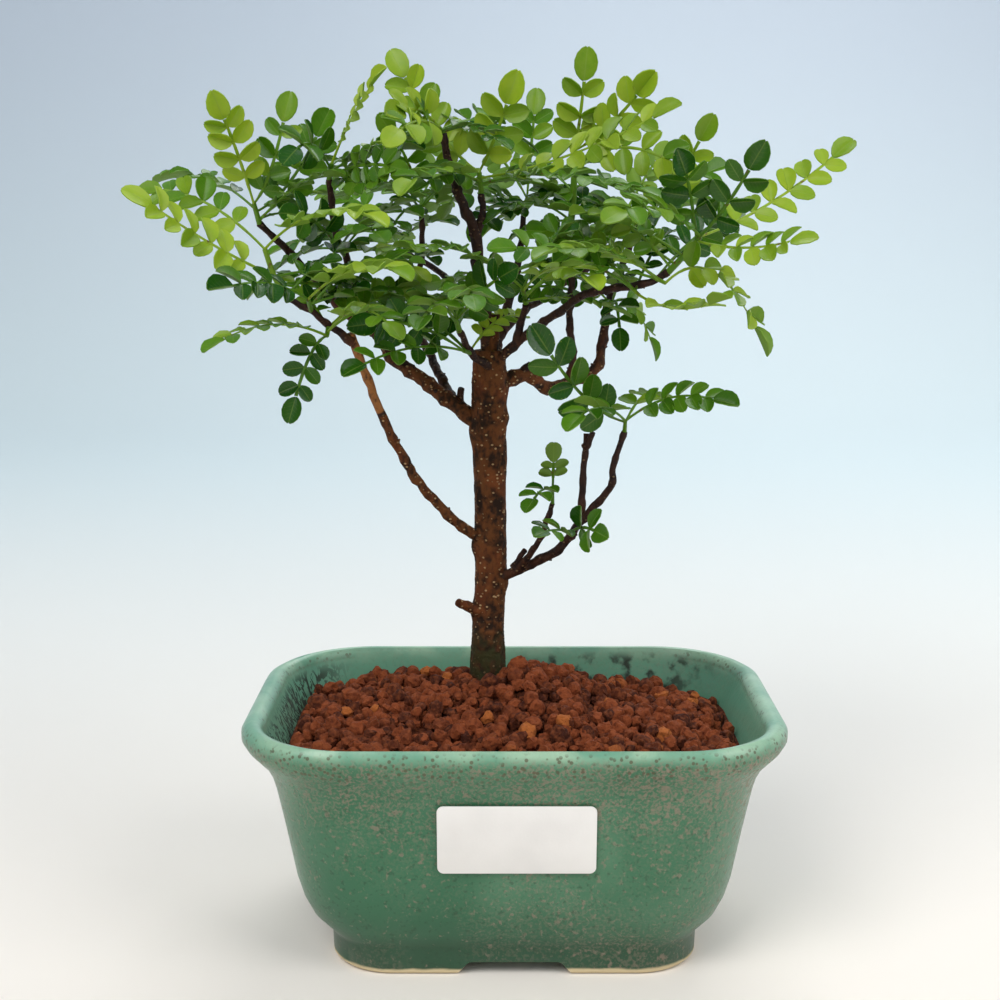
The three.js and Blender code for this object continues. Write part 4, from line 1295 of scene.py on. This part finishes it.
@dataclass
class Wood:
    """The trunk, its branches, twigs and pruned stubs."""

    ground: Ground
    sides: int = 60
    wander: float = 0.56
    wander_waves: float = 0.31
    wander_ends: float = 6.0
    uneven: float = 0.12
    uneven_waves: float = 0.7
    node_every: float = 6.5
    node_swell: float = 0.24
    node_length: float = 0.8
    collar: float = 0.5
    collar_length: float = 2.6
    tan_branch: str = "low_left"
    tan_above: float = 136.0
    young_foot: float = 0.5
    old_foot: float = 0.1
    first_nub: int = 4
    nub_every: int = 7
    twig_nub_every: int = 5
    nub_sides: int = 7
    nub_tip: float = 0.28
    nub_length: float = 1.6
    nub_softened: float = 0.18
    nub_lean: float = 0.35
    nub_sizes: Range = (0.42, 0.62)
    nub_from_middle: float = 0.85
    nub_from_skin: float = 0.3
    seed: int = 5
    trunk_rows: tuple[tuple[float, float, float, float], ...] = (
        (-7, 16, 48.5, 4.75), (-7, 16, 60, 4.9), (-7, 16, 64, 4.9), (-7, 16, 70, 4.55),
        (-6.8, 16, 78, 4.3), (-6.2, 16, 91, 4.15), (-6.2, 16, 105, 4.2), (-6.6, 16, 124, 4.25),
        (-6.6, 16, 137, 4.6), (-6.5, 16, 145, 4.5), (-6.4, 16, 151, 4.1))
    # Swellings on the trunk: height, angle round it in degrees, how far out, how tall.
    knots: tuple[tuple[float, float, float, float], ...] = (
        (98, 200, 1.2, 4.5), (88, 340, 1.0, 5), (129, 175, 1.2, 6), (141, 20, 1.0, 5),
        (133, 345, 1.0, 3.5), (122, 5, 0.6, 9), (80, 200, 1.0, 3.5), (112, 230, 0.4, 4),
        (72, 250, 0.5, 6), (106, 60, 0.5, 5), (146, 300, 0.6, 4), (118, 120, 0.5, 6))
    knot_arc: float = 0.5
    knot_steepness: float = 1.6

    def girth(self, height: float, radius: float, angle: float) -> float:
        """Gives the trunk's radius where ridges and knots have grown on it.

        Args:
            height: The height, in millimetres.
            radius: The plain trunk's radius there.
            angle: The angle round the trunk.

        Returns:
            The radius in millimetres.
        """
        x, y = math.cos(angle) * 4, math.sin(angle) * 4
        place = Vector((x, y, height * 0.22))
        grown = radius * (1 + 0.06 * noise.noise(place * 0.55) + 0.035 * noise.noise(place * 1.9))
        grown += 0.16 * abs(noise.noise(Vector((x * 3, y * 3, height * 0.9))))
        grown += 0.12 * noise.noise(place * 6.5)
        for middle, around, far, tall in self.knots:
            apart = math.remainder(angle - math.radians(around), FULL_TURN) / self.knot_arc
            above = (height - middle) / tall * self.knot_steepness
            grown += far * math.exp(-(apart ** 2) - above ** 2)
        return grown

    def trunk(self) -> Piece:
        """Raises the trunk from its root end.

        Returns:
            The closed trunk.
        """
        path = smooth_rows([Vector(row[:3]) for row in self.trunk_rows], TRUNK_STEPS)
        radii = smooth_rows([Vector((row[3], 0, 0)) for row in self.trunk_rows], TRUNK_STEPS)
        rings = []
        for centre, radius in zip(path, radii):
            ring = []
            for k in range(self.sides):
                angle = FULL_TURN * k / self.sides
                out = Vector((math.cos(angle), math.sin(angle), 0))
                grown = self.girth(centre.z, radius.x, angle)
                ring.append(self.ground.metres(centre + out * grown))
            rings.append(ring)
        trunk = raised("trunk_wood", rings, 60)
        mark(trunk, "age", Bark.TRUNK.value)
        return trunk

    def branch(self, row: Branch, draw: random.Random) -> Piece:
        """Draws one branch as a thick line that wanders and swells at its nodes.

        Args:
            row: The branch's radii and points.
            draw: The seeded random numbers.

        Returns:
            The branch as a closed mesh.
        """
        path = row.path()
        curve = bpy.data.curves.new(row.name, "CURVE")
        curve.dimensions = "3D"
        curve.bevel_depth = MM
        curve.bevel_resolution = 4
        curve.use_fill_caps = True
        line = curve.splines.new("POLY")
        line.points.add(len(path) - 1)
        start = draw.random() * self.node_every
        run = 0.0
        for i, centre in enumerate(path):
            share = i / (len(path) - 1)
            run += (centre - path[i - 1]).length if i else 0.0
            near = abs(math.remainder(start + run, self.node_every))
            collar = self.collar * row.first * math.exp(-run / self.collar_length)
            swell = self.node_swell * math.exp(-((near / self.node_length) ** 2))
            swell += self.uneven * noise.noise(centre * self.uneven_waves)
            ends = min(min(share, 1 - share) * self.wander_ends, 1.0)
            off = noise.noise_vector(centre * self.wander_waves) * self.wander * ends
            line.points[i].co = (*self.ground.metres(centre + off), 1)
            line.points[i].radius = row.radius(share) * (1 + swell) + collar
        wood = bpy.data.objects.new(row.name, curve)
        bpy.context.collection.objects.link(wood)
        only(wood)
        bpy.ops.object.convert(target="MESH")
        wood = bpy.context.active_object
        close_and_smooth(wood, 60)
        foot = self.young_foot if row.bark is Bark.TWIG else self.old_foot
        ages = np.linspace(foot, row.bark.value, len(wood.data.vertices))
        if row.name == self.tan_branch:
            ages[[v.co.z > self.tan_above * MM for v in wood.data.vertices]] = Bark.TAN.value
        mark(wood, "age", ages)
        return wood

    def nubs(self, draw: random.Random) -> Piece:
        """Sets the small pointed buds and old leaf scars along the branches.

        Args:
            draw: The seeded random numbers.

        Returns:
            All of them as one piece.
        """
        bpy.ops.mesh.primitive_cone_add(vertices=self.nub_sides, radius1=1, radius2=self.nub_tip,
                                        depth=self.nub_length)
        cone = added("nub")
        press(cone, "BEVEL", width=self.nub_softened, segments=2)
        shape, faces = taken(cone)
        buds = Gathering()
        for row in BRANCHES:
            path = row.path()
            every = self.twig_nub_every if row.bark is Bark.TWIG else self.nub_every
            for i in range(self.first_nub, len(path) - 2, every):
                radius = row.radius(i / (len(path) - 1))
                along = (path[i + 1] - path[i - 1]).normalized()
                spin = Matrix.Rotation(draw.random() * RANDOM_TURN, 3, along)
                aside = spin @ along.orthogonal().normalized()
                out = (aside + along * self.nub_lean).normalized()
                size = radius * draw.uniform(*self.nub_sizes)
                turned = np.array(out.to_track_quat("Z", "Y").to_matrix())
                far = radius * self.nub_from_middle + size * self.nub_from_skin
                centre = self.ground.metres(path[i] + out * far)
                points = shape @ turned.T * size * MM + np.array(centre)
                buds.lay(points, faces, np.zeros((len(points), 2)), age=row.bark.value)
        return buds.piece("branch_nubs")

    def build(self) -> Piece:
        """Makes the wood and joins it into one piece.

        Returns:
            The trunk with its branches, stubs and nubs.
        """
        draw = random.Random(self.seed)
        trunk = self.trunk()
        parts = [self.branch(row, draw) for row in BRANCHES]
        parts.append(self.nubs(draw))
        only(trunk)
        for part in parts:
            part.select_set(True)
        bpy.ops.object.join()
        return trunk


@dataclass
class Leaflet:
    """The leaflet that every frond is made of, modelled once in each of a few tempers."""

    columns: int = 7
    rows: int = 4
    widest_at: float = 0.54
    half: float = 0.345
    foot_fullness: float = 0.62
    least_half: float = 0.035
    thickness: float = 0.04
    notch: float = 0.035
    # How far the sides are folded up and the end bends down, for each temper.
    tempers: tuple[Range, ...] = ((0.22, 0.1), (0.4, 0.04), (0.1, 0.2), (0.3, 0.14))

    def half_width(self, along: float) -> float:
        """Gives the blade's half-width, narrow at its foot and round at its end.

        Args:
            along: The way along the blade, from 0 to 1.

        Returns:
            The half-width in leaflet lengths.
        """
        if along < self.widest_at:
            part = (1 - (1 - along / self.widest_at) ** 2) ** self.foot_fullness
        else:
            part = math.sqrt(max(0.0, 1 - ((along - self.widest_at) / (1 - self.widest_at)) ** 2))
        return max(self.least_half, self.half * part)

    def master(self, cup: float, arch: float) -> Master:
        """Models one blade from a grid, one unit long from its foot.

        Args:
            cup: How far its sides are folded up.
            arch: How far its end bends down.

        Returns:
            Its vertices, its faces, its places on the pattern, and 1 for each lower vertex.
        """
        bpy.ops.mesh.primitive_grid_add(x_subdivisions=self.columns, y_subdivisions=self.rows,
                                        size=2)
        blade = added("leaflet")
        places = []
        for vertex in blade.data.vertices:
            along = (1 - math.cos((vertex.co.x + 1) / 2 * math.pi)) / 2
            across = vertex.co.y
            half = self.half_width(along)
            notch = self.notch if along > 0.99 and abs(across) < 0.1 else 0.0
            rise = cup * abs(across) ** 1.5 * half * 2 - arch * along ** 2
            rise += 0.014 * math.sin(along * 17 + across * 2) * abs(across)
            vertex.co = (along - notch, across * half, rise)
            places.append((along, across))
        upper = len(blade.data.vertices)
        press(blade, "SOLIDIFY", thickness=self.thickness, offset=-1)
        points, faces = taken(blade)
        under = np.zeros(len(points))
        under[upper:] = 1.0
        return points, faces, np.array(places * 2), under

    def masters(self) -> list[Master]:
        """Models the blade in each of its tempers."""
        return [self.master(cup, arch) for cup, arch in self.tempers]


@dataclass(frozen=True)
class Midline:
    """The bent middle of a frond, from the stem to its end leaflet."""

    base: Vector
    bend: Vector
    tip: Vector
    facing: Vector

    def at(self, share: float) -> tuple[Vector, Vector, Vector, Vector]:
        """Follows the line.

        Args:
            share: How far along it, from 0 to 1.

        Returns:
            The place there, and the ways along, across and up.
        """
        left = 1 - share
        place = left ** 2 * self.base + 2 * share * left * self.bend + share ** 2 * self.tip
        along = (left * (self.bend - self.base) + share * (self.tip - self.bend)).normalized()
        up = (self.facing - along * self.facing.dot(along)).normalized()
        return place, along, along.cross(up), up


@dataclass
class Crown:
    """All the leafy shoots: green stems with winged fronds of opposite leaflets."""

    ground: Ground
    leaflet_length: float = 6.5
    least_length: float = 4.5
    end_length: float = 7.0
    length_per_step: float = 1.4
    rod_sides: int = 8
    rachis_parts: int = 14
    rachis_half: float = 0.44
    rachis_thick: float = 0.24
    petiole_least: float = 3.5
    petiole_share: float = 0.2
    lean_first: float = 64.0
    lean_less: float = 14.0
    lean_spread: float = 7.0
    # How far the leaflets are turned out of the rachis's plane, and how they differ.
    lifts: Range = (-0.06, 0.26)
    rolls_out: Range = (-0.34, 0.26)
    rolls_along: Range = (-0.28, 0.24)
    sizes: Range = (0.88, 1.08)
    widths: Range = (0.9, 1.08)
    seat: float = 0.6
    end_lifts: Range = (-0.1, 0.15)
    end_gap: float = 0.2
    end_growth: float = 1.18
    middle: Point = (-6.0, 10.0, 183.0)
    reach: Point = (66.0, 48.0, 27.0)
    inner_from: float = 150.0
    inner_fronds: int = 3
    inner_tries: int = 60
    inner_share: float = 0.93
    inner_far: Range = (17, 29)
    inner_rise: Range = (-3, 15)
    inner_at: Range = (0.05, 0.6)
    inner_raised: Range = (2, 7)
    inner_pairs: tuple[int, ...] = (4, 5, 5, 6)
    inner_faces: tuple[Face, ...] = (Face.UP, Face.UP, Face.UP, Face.SLANT, Face.FRONT)
    inner_sizes: Range = (0.78, 0.94)
    inner_youths: Range = (0.0, 0.8)
    draw: random.Random = field(default_factory=lambda: random.Random(41))
    masters: list[Master] = field(default_factory=lambda: Leaflet().masters())

    def strip(self, gathered: Gathering, line: Sequence[Vector], sides: Sequence[Vector],
              ups: Sequence[Vector], half: list[float], thick: list[float], youth: float) -> None:
        """Lays a stem or rachis as a flattened rod along a line.

        Args:
            gathered: The shoot that it joins.
            line: The points along its middle, in millimetres.
            sides: The way across it at each point.
            ups: The way up from it at each point.
            half: Its half-width at each point.
            thick: Its half-thickness at each point.
            youth: How young it is.
        """
        around = self.rod_sides
        points = []
        for centre, side, up, wide, deep in zip(line, sides, ups, half, thick):
            for k in range(around):
                angle = FULL_TURN * k / around
                place = centre + side * (wide * math.cos(angle)) + up * (deep * math.sin(angle))
                points.append(self.ground.metres(place)[:])
        faces = []
        for r in range(len(line) - 1):
            for k in range(around):
                low, high = r * around, (r + 1) * around
                turn = (k + 1) % around
                faces.append((low + k, high + k, high + turn, low + turn))
        end = (len(line) - 1) * around
        faces.append(tuple(range(around)))
        faces.append(tuple(end + k for k in reversed(range(around))))
        gathered.lay(np.array(points), faces, np.full((len(points), 2), 0.5), youth=youth,
                     tone=0.0, under=0.25, stem=1.0)

    def blade(self, gathered: Gathering, foot: Vector, along: Vector, up: Vector, length: float,
              wide: float, youth: float) -> None:
        """Lays one leaflet.

        Args:
            gathered: The shoot that it joins.
            foot: Where it meets the rachis, in millimetres.
            along: The way that it points.
            up: The way that its upper side looks.
            length: Its length in millimetres.
            wide: Its width against the master's.
            youth: How young it is.
        """
        points, faces, places, under = self.masters[self.draw.randrange(len(self.masters))]
        along = along.normalized()
        up = (up - along * up.dot(along)).normalized()
        side = up.cross(along)
        turn = Matrix((along, side, up)).transposed()
        stretched = points * np.array((length, length * wide, length))
        placed = stretched @ np.array(turn).T * MM + np.array(self.ground.metres(foot))
        gathered.lay(placed, faces, places, youth=youth, tone=self.draw.uniform(-1, 1),
                     under=under, stem=0.0)

    def frond(self, gathered: Gathering, base: Vector, row: Frond) -> None:
        """Lays one frond: its petiole and winged rachis, its pairs and its end leaflet.

        Args:
            gathered: The shoot that it joins.
            base: Where it leaves the stem, in millimetres.
            row: The frond's own numbers.
        """
        tip = Vector(row.tip)
        bend = base.lerp(tip, 0.5) + Vector((0, 0, row.raised))
        midline = Midline(base, bend, tip, Vector(row.face.value))
        shares = [i / self.rachis_parts for i in range(self.rachis_parts + 1)]
        line, _, sides, ups = zip(*(midline.at(share) for share in shares))
        length = sum((b - a).length for a, b in zip(line, line[1:]))
        petiole = max(self.petiole_least, self.petiole_share * length)
        step = (length - petiole) / row.pairs
        longest = max(min(row.size * self.leaflet_length, step * self.length_per_step),
                      row.size * self.least_length)
        half = []
        for share in shares:
            gone = share * length
            joint = abs(math.remainder(gone - petiole - step / 2, step)) / step
            narrow = 0.72 if gone < petiole else 0.8 + 0.5 * joint
            half.append(self.rachis_half * narrow)
        thick = [self.rachis_thick * (1.5 - share) for share in shares]
        self.strip(gathered, line, sides, ups, half, thick, row.youth * 0.7 + 0.25)
        for pair in range(row.pairs):
            share = min(1.0, (petiole + (pair + 0.5) * step) / length)
            place, along, across, up = midline.at(share)
            lean = math.radians(self.lean_first - self.lean_less * pair / row.pairs)
            grown = 0.82 + 0.18 * math.sin(math.pi * (pair + 1) / (row.pairs + 1))
            for side in (1, -1):
                spread = self.draw.uniform(-self.lean_spread, self.lean_spread)
                turned = lean + math.radians(spread)
                out = across * side
                way = along * math.cos(turned) + out * math.sin(turned)
                way += up * self.draw.uniform(*self.lifts)
                roll = up + out * self.draw.uniform(*self.rolls_out)
                roll += along * self.draw.uniform(*self.rolls_along)
                size = longest * grown * self.draw.uniform(*self.sizes)
                self.blade(gathered, place + out * self.rachis_half * self.seat, way, roll, size,
                           self.draw.uniform(*self.widths), row.youth)
        place, along, _, up = midline.at(1.0)
        way = along + up * self.draw.uniform(*self.end_lifts)
        size = max(longest * self.end_growth, row.size * self.end_length)
        self.blade(gathered, place + along * self.end_gap, way, up, size, 1.0, row.youth)

    def inner(self, row: Shoot) -> list[Frond]:
        """Adds the small fronds that fill the crown round a high shoot.

        Args:
            row: The shoot's stem and fronds.

        Returns:
            Fronds whose ends stay well inside the crown.
        """
        foot = Vector(row.stem[0])
        found = []
        draw = self.draw
        if foot.z < self.inner_from:
            return found
        for _ in range(self.inner_tries):
            angle = draw.uniform(0, FULL_TURN)
            far = draw.uniform(*self.inner_far)
            tip = foot + Vector((math.cos(angle) * far, math.sin(angle) * far,
                                 draw.uniform(*self.inner_rise)))
            out = Vector([(t - m) / r for t, m, r in zip(tip, self.middle, self.reach)])
            if out.length > self.inner_share or len(found) == self.inner_fronds:
                continue
            face = draw.choice(self.inner_faces)
            found.append(Frond(draw.uniform(*self.inner_at), tuple(tip),
                               draw.uniform(*self.inner_raised), draw.choice(self.inner_pairs),
                               face, draw.uniform(*self.inner_sizes),
                               draw.uniform(*self.inner_youths)))
        return found

    def shoot(self, row: Shoot) -> Piece:
        """Makes one leafy shoot.

        Args:
            row: The shoot's stem and fronds.

        Returns:
            The shoot as one piece.
        """
        gathered = Gathering()
        path = smooth_rows([Vector(point) for point in row.stem], SHOOT_STEPS)
        ways = [(b - a).normalized() for a, b in zip(path, path[1:])]
        ways.append(ways[-1])
        sides = [way.orthogonal().normalized() for way in ways]
        ups = [side.cross(way) for side, way in zip(sides, ways)]
        radii = [row.radius * (1 - 0.2 * i / (len(path) - 1)) for i in range(len(path))]
        youth = sum(frond.youth for frond in row.fronds) / len(row.fronds)
        self.strip(gathered, path, sides, ups, radii, radii, youth * 0.6 + 0.2)
        for frond in (*row.fronds, *self.inner(row)):
            reach = frond.at * (len(path) - 1)
            low = min(int(reach), len(path) - 2)
            base = path[low].lerp(path[low + 1], reach - low)
            self.frond(gathered, base, frond)
        return gathered.piece(row.name.replace("shoot_", "leaves_"))


@dataclass
class Label:
    """The bare white card that leans along the pot's front."""

    ground: Ground
    width: float = 38.5
    height: float = 18.0
    corner: float = 1.6
    corner_parts: int = 8
    thickness: float = 0.5
    softened: float = 0.12

    def build(self) -> Piece:
        """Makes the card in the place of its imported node.

        Returns:
            The card, with rounded corners and softened rims.
        """
        low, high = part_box("label")
        bpy.ops.mesh.primitive_cube_add(size=1)
        card = added("white_card")
        lean = math.atan2(high.y - low.y - self.thickness * MM, high.z - low.z)
        turn = Matrix.Rotation(lean, 3, "X")
        size = Vector((self.width, self.thickness, self.height)) * MM
        only(card)
        for vertex in card.data.vertices:
            vertex.co = Vector((vertex.co.x * size.x, vertex.co.y * size.y, vertex.co.z * size.z))
        bpy.ops.object.mode_set(mode="EDIT")
        bpy.ops.mesh.select_mode(type="EDGE")
        bpy.ops.mesh.select_all(action="DESELECT")
        shape = bmesh.from_edit_mesh(card.data)
        for edge in shape.edges:
            ends = [v.co for v in edge.verts]
            edge.select_set(abs(ends[0].x - ends[1].x) < SAME and abs(ends[0].z - ends[1].z) < SAME)
        bmesh.update_edit_mesh(card.data)
        bpy.ops.mesh.bevel(offset=self.corner * MM, segments=self.corner_parts)
        bpy.ops.object.mode_set(mode="OBJECT")
        press(card, "BEVEL", width=self.softened * MM, segments=2, limit_method="ANGLE")
        middle = (low + high) / 2
        for vertex in card.data.vertices:
            vertex.co = turn @ vertex.co + middle
        shade(card, 40)
        return card


@dataclass
class Studio:
    """The camera, the soft lights and the pale sweep."""

    ground: Ground
    eye: Point = (-3.65, -383.9, 184.0)
    tilt: float = 79.58
    lens: float = 54.1
    film_width: float = 36.0
    aim: Point = (0.0, 0.0, 0.12)
    # The lamps: name, place and side in metres, power in watts, colour.
    lamps: tuple[tuple[str, Point, float, float, Point], ...] = (
        ("window", (-0.8, -1.0, 1.5), 1.1, 21, (1.0, 0.98, 0.95)),
        ("side", (1.2, -0.7, 1.1), 1.0, 11, (1.0, 0.99, 0.97)),
        ("back", (0.3, 1.0, 1.3), 1.0, 10, (1.0, 1.0, 0.98)))
    daylight: tuple[float, float, float, float] = (1.0, 1.0, 0.985, 1.0)
    daylight_strength: float = 0.8
    # The sweep, in metres.
    floor_half: float = 3.0
    floor_front: float = -2.2
    floor_back: float = 0.9
    floor_z: float = -0.0004
    turn_radius: float = 0.6
    turn_parts: int = 16
    wall: float = 1.6

    def camera(self) -> None:
        """Sets the camera at the photograph's place and angle."""
        data = bpy.data.cameras.new("photo_camera")
        data.sensor_width = self.film_width
        data.lens = self.lens
        data.clip_start = 0.01
        camera = bpy.data.objects.new("photo_camera", data)
        camera.location = self.ground.metres(self.eye)
        camera.rotation_euler = (math.radians(self.tilt), 0, 0)
        bpy.context.collection.objects.link(camera)
        bpy.context.scene.camera = camera

    def lamp(self, name: str, place: Point, width: float, watts: float,
             colour: Point) -> None:
        """Hangs a soft square lamp that looks at the tree.

        Args:
            name: The lamp's name.
            place: Its place in metres.
            width: Its side in metres.
            watts: Its power.
            colour: Its colour.
        """
        data = bpy.data.lights.new(name, "AREA")
        data.size = width
        data.energy = watts
        data.color = colour
        lamp = bpy.data.objects.new(name, data)
        lamp.location = place
        aim = Vector(self.aim) - Vector(place)
        lamp.rotation_euler = aim.to_track_quat("-Z", "Y").to_euler()
        bpy.context.collection.objects.link(lamp)

    def sweep(self) -> None:
        """Makes the floor, which turns up behind the tree as one sheet."""
        bpy.ops.mesh.primitive_plane_add(size=1)
        floor = added("pale_sweep")
        for vertex in floor.data.vertices:
            vertex.co = (math.copysign(self.floor_half, vertex.co.x),
                         self.floor_back if vertex.co.y > 0 else self.floor_front, self.floor_z)
        only(floor)
        bpy.ops.object.mode_set(mode="EDIT")
        bpy.ops.mesh.select_mode(type="VERT")
        part = math.pi / 2 / self.turn_parts
        for step in range(self.turn_parts):
            shape = bmesh.from_edit_mesh(floor.data)
            last = max(v.co.y + v.co.z for v in shape.verts)
            for vertex in shape.verts:
                vertex.select_set(vertex.co.y + vertex.co.z > last - SAME * 10)
            shape.select_flush(True)
            bmesh.update_edit_mesh(floor.data)
            back = math.sin((step + 1) * part) - math.sin(step * part)
            up = math.cos(step * part) - math.cos((step + 1) * part)
            bpy.ops.mesh.extrude_region_move(TRANSFORM_OT_translate={
                "value": (0, self.turn_radius * back, self.turn_radius * up)})
        bpy.ops.mesh.extrude_region_move(TRANSFORM_OT_translate={"value": (0, 0, self.wall)})
        bpy.ops.object.mode_set(mode="OBJECT")
        shade(floor, 30)
        floor.data.materials.append(SweepFinish().material())

    def light(self) -> None:
        """Fills the room with soft daylight."""
        world = bpy.data.worlds.new("daylight")
        world.use_nodes = True
        fill = world.node_tree.nodes["Background"]
        fill.inputs["Color"].default_value = self.daylight
        fill.inputs["Strength"].default_value = self.daylight_strength
        bpy.context.scene.world = world
        for lamp in self.lamps:
            self.lamp(*lamp)


def dress(piece: Piece, finish: Material, node: str) -> None:
    """Gives a finished piece its finish and tells the frame what it stands for.

    Args:
        piece: The finished piece.
        finish: Its material.
        node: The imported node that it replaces.
    """
    piece.data.materials.clear()
    piece.data.materials.append(finish)
    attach(piece, "root")
    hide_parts(node)
    LOG.info("%s: %d faces for %s", piece.name, len(piece.data.polygons), node)


def main() -> None:
    """Builds the studio and the tree, piece by piece."""
    logging.basicConfig(level=logging.INFO, format="%(name)s %(message)s")
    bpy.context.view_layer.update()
    bpy.ops.object.select_all(action="DESELECT")
    ground = Ground()
    studio = Studio(ground)
    studio.camera()
    studio.light()
    studio.sweep()
    pot = Pot(ground)
    dress(pot.build(), GlazeFinish().material(ground.middle), "pot")
    dress(Soil(ground, pot).build(), GranuleFinish().material(), "soil")
    dress(Wood(ground).build(), BarkFinish().material(), "trunk_and_branches")
    dress(Label(ground).build(), CardFinish().material(), "label")
    crown = Crown(ground)
    leaf = LeafFinish().material()
    for row in SHOOTS:
        dress(crown.shoot(row), leaf, row.name)
    bpy.context.scene.view_settings.view_transform = "Standard"
    bpy.context.view_layer.update()


if __name__ == "__main__":
    main()
